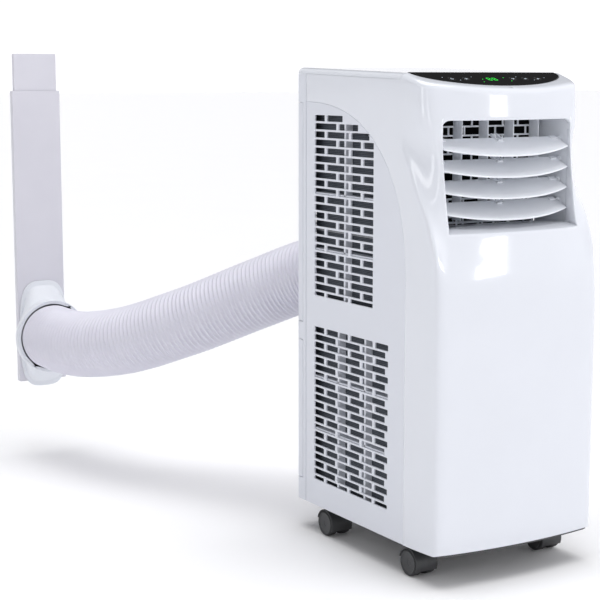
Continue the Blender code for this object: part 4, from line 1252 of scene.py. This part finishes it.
def lid_outline(inset):
    """The lid's plan, shrunk by an inset at its sides and back, with each point's place on its front edge kept."""
    front = LID_FRONT + 0.0002
    corner = REAR_CORNER - inset * 0.6
    half = HALF_WIDTH - inset
    back = BACK - inset
    points = []
    for i in range(25):
        y = front + (back - corner - front) * i / 24
        z = CONTROL_EDGE[1] - LID_SKIRT
        x = min(on_section(z, distance_at(z, y=min(y, REAR_SEAM))).x, HALF_WIDTH) - inset
        points.append((x, y))
    points += arc(half - corner, back - corner, corner, corner, 0, 90, 10)[1:]
    return points + [(-x, y) for x, y in reversed(points)]


def lid():
    """The lid: a shallow cap with a skirt, its side and rear edges rounded over."""
    rings = [[(x, y, top_plane(y) - LID_SKIRT) for x, y in lid_outline(0)]]
    for k in range(LID_RINGS + 1):
        angle = k / LID_RINGS * math.pi / 2
        drop = TOP_ROUND * (1 - math.sin(angle))
        rings.append([(x, y, top_plane(y) - drop) for x, y in lid_outline(TOP_ROUND * (1 - math.cos(angle)))])
    flat = [(x, max(y, LID_FRONT + 0.0022)) for x, y in lid_outline(TOP_ROUND + 0.002)]
    rings.append([(x, y, top_plane(y)) for x, y in flat])
    bm = bmesh.new()
    grid_faces(bm, [[*ring, ring[0]] for ring in rings])
    weld(bm)
    top = [e for e in bm.edges if e.is_boundary and all(v.co.z > top_plane(v.co.y) - 0.0001 for v in e.verts)]
    bmesh.ops.holes_fill(bm, edges=top, sides=0)
    bm.normal_update()
    below = Vector((0, 0.05, 0.6))
    inward = [face for face in bm.faces if face.normal.dot(face.calc_center_median() - below) < 0]
    bmesh.ops.reverse_faces(bm, faces=inward)
    cap = finish_piece("lid", bm, "cabinet", GLOSS, "top_cover", 40)
    add_wall(cap, SHELL_WALL)


lid()

# ---------------------------------------------------------------- the back, wrapped round both corners

BACK_FLAT = HALF_WIDTH - REAR_CORNER
BACK_BEND = REAR_CORNER * math.pi / 2
BACK_WALL = 0.0026
REAR_GAP = 0.0010
FRAME_SEAM = 0.167
UPPER_FRAME = (0.322, 0.648)
LOWER_FRAME = (0.080, 0.293)
ARCH_HALF = 0.084
ARCH_TOP = 0.476


def wrap_back(bm):
    """Bend a flat sheet round the two rear corners: x runs across the back, y is the height, and -z is depth."""
    cuts = 8
    for sign in (-1, 1):
        for i in range(cuts + 1):
            at = sign * (BACK_FLAT + BACK_BEND * i / cuts)
            geom = bm.verts[:] + bm.edges[:] + bm.faces[:]
            bmesh.ops.bisect_plane(bm, geom=geom, dist=1e-7, plane_co=(at, 0, 0), plane_no=(1, 0, 0))
    for vert in bm.verts:
        u, z, depth = vert.co.x, vert.co.y, -vert.co.z
        sign = -1 if u < 0 else 1
        past = abs(u) - BACK_FLAT
        if past <= 0:
            vert.co = (u, BACK - depth, z)
        elif past <= BACK_BEND:
            angle = past / REAR_CORNER
            reach = REAR_CORNER - depth
            vert.co = (
                sign * (BACK_FLAT + reach * math.sin(angle)),
                BACK - REAR_CORNER + reach * math.cos(angle),
                z,
            )
        else:
            vert.co = (sign * (HALF_WIDTH - depth), BACK - REAR_CORNER - (past - BACK_BEND), z)
    bmesh.ops.recalc_face_normals(bm, faces=bm.faces)
    return bm


def unrolled(y):
    """The distance from the back's middle to a y on the side, measured round the corner."""
    return BACK_FLAT + BACK_BEND + (BACK - REAR_CORNER - y)


def frame_outline(low, high, arch, grow):
    """The unrolled outline of a filter frame, with the notch for the hose outlet."""
    half = unrolled(FRAME_SEAM) + grow
    low, high = low - grow, high + grow
    if not arch:
        return rounded(-half, half, low, high, 0.002, 2)
    notch = ARCH_HALF - grow
    top = ARCH_TOP - grow
    points = [(-half, high), (-half, low), (-notch, low), *arc(-notch + 0.02, top - 0.02, 0.02, 0.02, 180, 90, 5)]
    return [*points, *arc(notch - 0.02, top - 0.02, 0.02, 0.02, 90, 0, 5), (notch, low), (half, low), (half, high)]


def rear_casing():
    """The back of the casing, with the two windows for the filter frames, the hose outlet and the gland hole."""
    half = unrolled(REAR_SEAM + REAR_GAP)
    high = top_plane(BACK) - LID_SKIRT - SEAM_GAP
    outline = [(-half, UNDERSIDE), (half, UNDERSIDE), (half, high), (-half, high)]
    centre = (COLLAR[0].z + COLLAR[1].z) / 2
    gland_low, gland_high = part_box("cord_gland")
    gland = ((gland_low.x + gland_high.x) / 2, (gland_low.z + gland_high.z) / 2)
    holes = [
        frame_outline(*UPPER_FRAME, True, REAR_GAP),
        frame_outline(*LOWER_FRAME, False, REAR_GAP),
        arc(0, centre, 0.052, 0.052, 0, 354, 59),
        arc(*gland, 0.0073, 0.0073, 0, 345, 23),
    ]
    bm = wrap_back(flat_sheet([outline, *holes], BACK_WALL, 0.0004))
    ledge = 0.0045
    for low, high, arch in ((*UPPER_FRAME, True), (*LOWER_FRAME, False)):
        outer = frame_outline(low, high, arch, ledge)
        inner = frame_outline(low, high, arch, -ledge)
        rim = flat_sheet([outer, inner], 0.0012)
        bmesh.ops.translate(rim, verts=rim.verts, vec=(0, 0, -BACK_WALL - 0.0001))
        join(bm, wrap_back(rim))
    finish_piece("rear_casing", bm, "cabinet", TEXTURED, "rear_panel", 30)


def filter_cassette(name, span, arch, body):
    """A pull-off filter frame with bricked slots and a finger grip."""
    low, high = span
    outline = frame_outline(low, high, arch, 0.0)
    pitch = 0.0118
    reach = BACK_FLAT - 0.010
    holes = []
    row = 0
    z = high - 0.018
    while z - pitch > low + 0.012:
        clear = arch and z - pitch < ARCH_TOP + 0.012
        spans = ((-reach, -ARCH_HALF - 0.008), (ARCH_HALF + 0.008, reach)) if clear else ((-reach, reach),)
        for start, stop in spans:
            at = start
            width = HALF_SLOT if row % 2 == 0 else FULL_SLOT
            while stop - at > 0.010:
                end = min(at + width, stop)
                if stop - end < BAR + 0.004:
                    end = stop
                holes.append(nicked(at, end, z - pitch * 0.75, z))
                at = end + BAR
                width = FULL_SLOT
        z -= pitch
        row += 1
    grip_z = high - 0.0085
    holes.append(rounded(-0.030, 0.030, grip_z - 0.0045, grip_z + 0.0035, 0.0035, 4))
    bm = wrap_back(flat_sheet([outline, *holes], BACK_WALL, 0.0005))
    cup = block((-0.031, BACK - 0.009, grip_z - 0.0055), (0.031, BACK - BACK_WALL + 0.0002, grip_z + 0.0045), 0.001)
    front = [face for face in cup.faces if face.normal.y > 0.9]
    bmesh.ops.delete(cup, geom=front, context="FACES")
    bmesh.ops.solidify(cup, geom=cup.faces[:], thickness=0.0008)
    join(bm, cup)
    finish_piece(f"filter_cassette_{name}", bm, body, TEXTURED, f"filter_frame_{name}", 30)


rear_casing()
filter_cassette("upper", UPPER_FRAME, True, "upper_filter")
filter_cassette("lower", LOWER_FRAME, False, "lower_filter")

# ---------------------------------------------------------------- controls

SLANT = math.hypot(1, CONTROL_SLOPE)
ON_SLOPE = Matrix.Translation((0, *CONTROL_EDGE)) @ Matrix.Rotation(math.atan(CONTROL_SLOPE), 4, "X")
KEYS = {"power": -0.074, "mode": -0.050, "fan": 0.030, "down": 0.052, "up": 0.074}
KEY_LINE = -0.026
KEY_RADIUS = 0.0047
DISPLAY_X = -0.008


def fascia_outline():
    """The fascia's crescent on its slope, from its rear edge round the front."""
    rear = (-CONTROL_EDGE[0] + LID_FRONT) * SLANT - SEAM_GAP
    points = [(FASCIA_HALF, rear), (-FASCIA_HALF, rear)]
    for i in range(-32, 33):
        x = math.sin(i / 32 * math.pi / 2)
        points.append((FASCIA_HALF * x, -FASCIA_TIP - FASCIA_DEPTH * (1 - x * x) ** 0.6))
    return points


def ring_mark(outer, inner, first=0, last=360):
    """The outline of a ring, or of part of one."""
    steps = max(int(abs(last - first) / 15), 3)
    return arc(0, 0, outer, outer, first, last, steps) + arc(0, 0, inner, inner, last, first, steps)


def key_mark(name):
    """The plain printed mark of each key, as outlines about its middle."""
    small = 0.00035
    if name == "power":
        return [ring_mark(0.0022, 0.0016, 120, 420), [(-small, 0.0006), (small, 0.0006), (small, 0.0027), (-small, 0.0027)]]
    if name == "mode":
        return [[(-0.002, v - small), (0.002, v - small), (0.002, v + small), (-0.002, v + small)] for v in (-0.0015, 0, 0.0015)]
    if name == "fan":
        blades = []
        for i in range(3):
            turn = i * 120
            blades.append(arc(0, 0, 0.0023, 0.0023, turn, turn + 50, 4) + [(0, 0)])
        return blades
    sign = 1 if name == "up" else -1
    points = [(-0.0022, -0.0012 * sign), (0.0022, -0.0012 * sign), (0, 0.0020 * sign)]
    return [points if sign > 0 else points[::-1]]


def controls():
    """The black fascia and its keys with lit marks."""
    holes = [arc(x, KEY_LINE, KEY_RADIUS + 0.0003, KEY_RADIUS + 0.0003, 0, 345, 23) for x in KEYS.values()]
    fascia = flat_sheet([fascia_outline(), *holes], 0.0025, 0.0005)
    fascia.transform(ON_SLOPE)
    finish_piece("acrylic_fascia", fascia, "cabinet", ACRYLIC, "control_fascia", 25)
    for name, x in KEYS.items():
        profile = [(0, 0.00005), (0.0030, 0.00005), (0.0042, -0.00005), (KEY_RADIUS, -0.0005), (KEY_RADIUS, -0.003)]
        key = turned([*profile, (0, -0.003)], 32)
        middle = Matrix.Translation((x, KEY_LINE, 0))
        key.transform(ON_SLOPE @ middle)
        finish_piece(f"touch_key_{name}", key, f"key_{name}", ACRYLIC, f"key_{name}")
        marks = bmesh.new()
        for outline in key_mark(name):
            join(marks, flat_sheet([outline], 0.0002), middle @ Matrix.Translation((0, 0, 0.00013)))
        marks.transform(ON_SLOPE)
        finish_piece(f"key_mark_{name}", marks, f"key_{name}", WHITE_LIGHT)


def bar_segment(u, v, length, width, upright):
    """One bar of a digit: a long hexagon."""
    tip = width / 2
    half = length / 2
    points = [(-half, 0), (-half + tip, -tip), (half - tip, -tip), (half, 0), (half - tip, tip), (-half + tip, tip)]
    if upright:
        points = [(-b, a) for a, b in points]
    return [(u + a, v + b) for a, b in points]


def display():
    """Two seven-segment digits and a row of small lamps under the fascia's face."""
    bm = bmesh.new()
    length, width = 0.0050, 0.0010
    for middle in (DISPLAY_X - 0.0046, DISPLAY_X + 0.0046):
        for u, v, upright in ((0, 2, 0), (0, 0, 0), (0, -2, 0), (-1, 1, 1), (1, 1, 1), (-1, -1, 1), (1, -1, 1)):
            place = (middle + u * length / 2, KEY_LINE - 0.002 + v * length / 2)
            join(bm, flat_sheet([bar_segment(*place, length * 0.92, width, upright)], 0.0002))
    for u, v in ((-0.024, -0.002), (-0.030, -0.014), (0.016, 0.004), (0.020, -0.010)):
        join(bm, flat_sheet([arc(u, KEY_LINE + v, 0.0008, 0.0008, 0, 330, 11)], 0.0002))
    bm.transform(ON_SLOPE @ Matrix.Translation((0, 0, 0.00022)))
    finish_piece("display_digits", bm, "cabinet", GREEN_LIGHT)
    lamps = bmesh.new()
    for u, v in ((-0.086, 0.006), (-0.064, -0.006), (-0.036, 0.008), (0.041, 0.008), (0.063, -0.006), (0.088, 0.004)):
        join(lamps, flat_sheet([arc(u, KEY_LINE + v, 0.0007, 0.0007, 0, 330, 11)], 0.0002))
    lamps.transform(ON_SLOPE @ Matrix.Translation((0, 0, 0.00022)))
    finish_piece("indicator_lamps", lamps, "cabinet", WHITE_LIGHT)


controls()
display()

# ---------------------------------------------------------------- air outlet

THROAT_HALF = 0.1094
VANE_PIVOT_Y = -0.120
VANE_TOP_PIVOT = 0.601
VANE_PITCH = 0.0285
VANE_TILT = math.radians(27)
VANE_CHORD = 0.0455
VANE_TIP = 0.0235
VANE_HALF = 0.1070
LINK_ARM = 0.010
BLADE_PITCH = 0.0446
BLADE_Y = -0.0885
TIE_ARM = 0.008


def throat():
    """The duct behind the opening: smooth side walls and a pivot boss for each vane end."""
    low, high = DUCT
    half = THROAT_HALF + 0.0024
    rings = []
    for y in (THROAT_BACK - 0.006, high.y):
        outline = rounded(-half + 0.0024, half - 0.0024, low.z + 0.0028, high.z - 0.0028, 0.004, 4)
        rings.append([(u, y, v) for u, v in outline])
    bm = bridge_rings(rings)
    weld(bm)
    if min(bm.faces, key=lambda f: f.calc_center_median().z).normal.z < 0:
        bmesh.ops.reverse_faces(bm, faces=bm.faces)
    bmesh.ops.solidify(bm, geom=bm.faces[:], thickness=0.0018)
    for i in range(4):
        for sign in (-1, 1):
            z = VANE_TOP_PIVOT - VANE_PITCH * i
            boss = turned([(0, 0.0034), (0.0026, 0.0034), (0.0032, 0.0028), (0.0036, 0.0), (0, 0.0)], 20)
            turn = Matrix.Rotation(-sign * math.pi / 2, 4, "Y")
            join(bm, boss, Matrix.Translation((sign * THROAT_HALF, VANE_PIVOT_Y, z)) @ turn)
    finish_piece("outlet_throat", bm, "cabinet", SATIN, "outlet_duct", 40)


def vane(number):
    """A crescent vane: a bowed blade with a rounded front edge, end clips, and the lug that the link holds."""
    half = VANE_HALF
    outline = []
    for i in range(-20, 21):
        x = i / 20
        chord = VANE_TIP + (VANE_CHORD - VANE_TIP) * (1 - abs(x) ** 2.2)
        outline.append((half * x, -chord))
    outline += [(half, -0.003), (half - 0.004, -0.003), (half - 0.005, 0.0042)]
    outline += [(-half + 0.005, 0.0042), (-half + 0.004, -0.003), (-half, -0.003)]
    bm = flat_sheet([outline], 0.0024, 0.0009)
    bmesh.ops.translate(bm, verts=bm.verts, vec=(0, 0, 0.0012))
    for sign in (-1, 1):
        pin = turned([(0, 0.006), (0.0016, 0.006), (0.0018, 0.0055), (0.0018, -0.006), (0, -0.006)], 16)
        turn = Matrix.Rotation(sign * math.pi / 2, 4, "Y")
        join(bm, pin, Matrix.Translation((sign * (half - 0.003), 0, 0)) @ turn)
        ends = sorted((sign * (half - 0.016), sign * (half - 0.0052)))
        join(bm, block((ends[0], -0.004, 0.0008), (ends[1], 0.0035, 0.0028), 0.0006))
    for x in (-0.0056, 0.0034):
        join(bm, block((x, -0.0065, -0.0008), (x + 0.0022, LINK_ARM + 0.0022, 0.0034), 0.0006))
    join(bm, block((-0.0056, -0.0065, 0.0010), (0.0056, -0.0040, 0.0034), 0.0006))
    pin = turned([(0, 0.0048), (0.0011, 0.0048), (0.0013, 0.0044), (0.0013, -0.0044), (0.0011, -0.0048), (0, -0.0048)], 14)
    join(bm, pin, Matrix.Translation((0, LINK_ARM, 0.0)) @ Matrix.Rotation(math.pi / 2, 4, "Y"))
    z = VANE_TOP_PIVOT - VANE_PITCH * (number - 1)
    bm.transform(Matrix.Translation((0, VANE_PIVOT_Y, z)) @ Matrix.Rotation(VANE_TILT, 4, "X"))
    finish_piece(f"crescent_vane_{number}", bm, f"vane_{number}", SATIN, f"vane_{number}", 40)


def link_bar():
    """The upright bar that ties the four vanes, with an eye at each vane's pin."""
    y = VANE_PIVOT_Y + LINK_ARM * math.cos(VANE_TILT)
    rise = LINK_ARM * math.sin(VANE_TILT)
    pins = [VANE_TOP_PIVOT - VANE_PITCH * i + rise for i in range(4)]
    bm = block((-0.0014, y - 0.0016, pins[-1]), (0.0014, y + 0.0016, pins[0]), 0.0005)
    for z in pins:
        eye = bridge_rings(
            [
                [(x, y + a, z + b) for a, b in arc(0, 0, radius, radius, 0, 345, 23)]
                for x, radius in ((-0.0018, 0.0017), (-0.0018, 0.0033), (0.0018, 0.0033), (0.0018, 0.0017))
            ],
            closed=True,
        )
        join(bm, weld(eye))
    finish_piece("vane_link", bm, "vane_link", SATIN, "vane_link_bar")


def deflector(number):
    """An upright deflector blade: a thin leaf with a round nose, its pivots and its tie pin."""
    x = BLADE_PITCH * (number - 3)
    bm = block((x - 0.0009, BLADE_Y - 0.0100, 0.4900), (x + 0.0009, BLADE_Y + 0.0100, 0.6275), 0.0005)
    for low, high in ((0.4785, 0.4905), (0.6270, 0.6318)):
        pin = turned([(0, high), (0.0014, high), (0.0014, low), (0, low)], 14)
        join(bm, pin, Matrix.Translation((x, BLADE_Y, 0)))
    tie = turned([(0, 0.4915), (0.0010, 0.4915), (0.0010, 0.4840), (0, 0.4840)], 12)
    join(bm, tie, Matrix.Translation((x, BLADE_Y + TIE_ARM, 0)))
    finish_piece(f"deflector_{number}", bm, f"blade_{number}", SATIN, f"blade_{number}")


def guard():
    """The finger guard: bars laid like bricks across the back of the duct."""
    low, high = GUARD
    rows = 12
    pitch = (high.z - low.z) / rows
    outline = [(low.x, low.z), (high.x, low.z), (high.x, high.z), (low.x, high.z)]
    holes = []
    for row in range(rows):
        bottom = low.z + pitch * row + 0.0012
        top = bottom + pitch - 0.0024
        at = low.x + 0.0025
        width = 0.0105 if row % 2 else 0.0245
        while high.x - 0.0025 - at > 0.006:
            end = min(at + width, high.x - 0.0025)
            holes.append(nicked(at, end, bottom, top, 0.0006))
            at = end + 0.0026
            width = 0.0245
    bm = flat_sheet([outline, *holes], 0.0020, 0.0004)
    bm.transform(Matrix.Translation((0, low.y, 0)) @ FACE_FRONT)
    finish_piece("finger_guard", bm, "cabinet", SATIN, "outlet_guard", 30)
    # Painted shade: a near-black sheet behind the guard stands for the shade inside the duct.
    dark = block((low.x + 0.001, high.y + 0.0004, low.z + 0.001), (high.x - 0.001, high.y + 0.0012, high.z - 0.001), 0.0003, 1)
    finish_piece("painted_shade_sheet", dark, "cabinet", PAINTED_SHADE)


throat()
for number in range(1, 5):
    vane(number)
link_bar()
for number in range(1, 6):
    deflector(number)
guard()

# ---------------------------------------------------------------- casters and feet


CASTER_TRAIL = 0.010


def caster(name):
    """A twin-wheel caster: two dished wheels with rubber treads on an axle, and the hood that swivels."""
    low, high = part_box(f"caster_wheels_{name}")
    radius = (high.z - low.z) / 2
    hub = Vector(((low.x + high.x) / 2, (low.y + high.y) / 2, (low.z + high.z) / 2))
    half = (high.x - low.x) / 2
    gap = 0.0046
    wheels = bmesh.new()
    tread = bmesh.new()
    for sign in (-1, 1):
        turn = Matrix.Translation(hub) @ Matrix.Rotation(sign * math.pi / 2, 4, "Y")
        cheek = [(0, half - 0.0030), (0.0042, half - 0.0030), (0.0048, half - 0.0024), (0.0140, half - 0.0014)]
        cheek += [(0.0152, half - 0.0004), (0.0163, half), (0.0170, half - 0.0010), (0.0170, gap + 0.0010)]
        cheek += [(0.0160, gap), (0.0040, gap), (0.0030, gap + 0.0004), (0.0, gap + 0.0004)]
        join(wheels, turned(cheek, 48), turn)
        band = [(0.0168, half - 0.0006), (0.0176, half - 0.0004), (radius - 0.0003, half - 0.0016), (radius, half - 0.0030)]
        band += [(radius, gap + 0.0024), (radius - 0.0006, gap + 0.0008), (0.0168, gap + 0.0006)]
        loop = [[Matrix.Rotation(2 * math.pi * i / 48, 4, "Z") @ Vector((r, 0, z)) for r, z in band] for i in range(48)]
        join(tread, weld(bridge_rings(loop, closed=True)), turn)
    axle = turned([(0, 0.006), (0.0029, 0.006), (0.0029, -0.006), (0, -0.006)], 20)
    join(wheels, axle, Matrix.Translation(hub) @ Matrix.Rotation(math.pi / 2, 4, "Y"))
    body = f"wheels_{name}"
    finish_piece(f"twin_wheels_{name}", wheels, body, NYLON, f"caster_wheels_{name}", 30)
    finish_piece(f"wheel_treads_{name}", tread, body, RUBBER)
    caster_hood(name, hub)


def caster_hood(name, hub):
    """The hood of a caster, arched over its wheels, with the web between them and the stem."""
    low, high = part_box(f"caster_yoke_{name}")
    top = UNDERSIDE - 0.0007
    stem = Vector(((low.x + high.x) / 2, 0, 0))
    body = f"caster_{name}"
    outline = arc(hub.y, hub.z, 0.0212, 0.0212, 12, 206, 26) + arc(hub.y, hub.z, 0.0196, 0.0196, 206, 12, 26)
    arch = bridge_rings([[(stem.x + x, y, z) for y, z in outline] for x in (-0.0180, 0.0180)])
    bmesh.ops.holes_fill(arch, edges=[e for e in arch.edges if e.is_boundary], sides=0)
    weld(arch)
    sharp = [e for e in arch.edges if e.calc_face_angle(0) > 0.6]
    bmesh.ops.bevel(arch, geom=sharp, offset=0.0005, affect="EDGES", segments=2, profile=0.5, material=-1)
    web = arc(hub.y, hub.z, 0.0095, 0.0095, -160, 20, 14)
    web += [(hub.y + 0.0120, top - 0.0064), (hub.y - 0.0180, top - 0.0064), (hub.y - 0.0120, hub.z + 0.004)]
    rings = [[(stem.x + x, y, z) for y, z in web] for x in (-0.0036, 0.0036)]
    centre = bridge_rings(rings)
    bmesh.ops.holes_fill(centre, edges=[e for e in centre.edges if e.is_boundary], sides=0)
    join(arch, weld(centre))
    stem_y = hub.y - CASTER_TRAIL
    post = turned([(0, high.z), (0.0036, high.z), (0.0042, high.z - 0.001), (0.0042, top - 0.004), (0, top - 0.004)], 28)
    join(arch, post, Matrix.Translation((stem.x, stem_y, 0)))
    collar = turned([(0, top + 0.0002), (0.0088, top + 0.0002), (0.0095, top - 0.0006), (0.0095, top - 0.003), (0, top - 0.003)], 32)
    join(arch, collar, Matrix.Translation((stem.x, stem_y, 0)))
    finish_piece(f"caster_hood_{name}", arch, body, NYLON, f"caster_yoke_{name}", 35)


def front_screw(side):
    """A round-headed screw with a cross recess, under the front edge."""
    low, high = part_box(f"front_screw_{side}")
    middle = (low + high) / 2
    head = (high.x - low.x) / 2
    profile = [(0, high.z), (0.0023, high.z), (0.0023, UNDERSIDE + 0.0004), (head, UNDERSIDE + 0.0002)]
    profile += [(head, low.z + 0.0030), (head - 0.0008, low.z + 0.0012), (head - 0.0026, low.z + 0.0002), (0, low.z)]
    bm = turned(profile, 36)
    bm.transform(Matrix.Translation((middle.x, middle.y, 0)))
    for wide, deep in ((0.0032, 0.0007), (0.0007, 0.0032)):
        corners = ((middle.x - wide, middle.y - deep, low.z + 0.0001), (middle.x + wide, middle.y + deep, low.z + 0.0010))
        join(bm, block(*corners))
    finish_piece(f"screw_head_{side}", bm, "cabinet", GLOSS, f"front_screw_{side}")


for name in ("front_left", "front_right", "rear_left", "rear_right"):
    caster(name)
for side, _ in SIDES:
    front_screw(side)

# ---------------------------------------------------------------- finishes of the nodes that keep their shape

FINISHES = {
    NYLON: ("base_tray", "electrics_box"),
    RUBBER: ("cord_gland",),
    SATIN: ("blade_tie_bar",),
    NET: ("filter_net_upper", "filter_net_lower"),
    ENAMEL: ("compressor", "accumulator"),
    FINS: ("evaporator_coil", "condenser_coil"),
    COPPER: ("discharge_pipe", "suction_pipe"),
    ZINC: ("cool_motor", "hot_motor"),
    FOAM: ("partition_deck", "cool_blower_housing", "hot_blower_housing", "cool_blower_wheel", "hot_blower_wheel"),
    BOARD: ("control_board",),
}
for finish, names in FINISHES.items():
    for name in names:
        mesh = bpy.data.objects[name].data
        mesh.materials.clear()
        mesh.materials.append(finish)
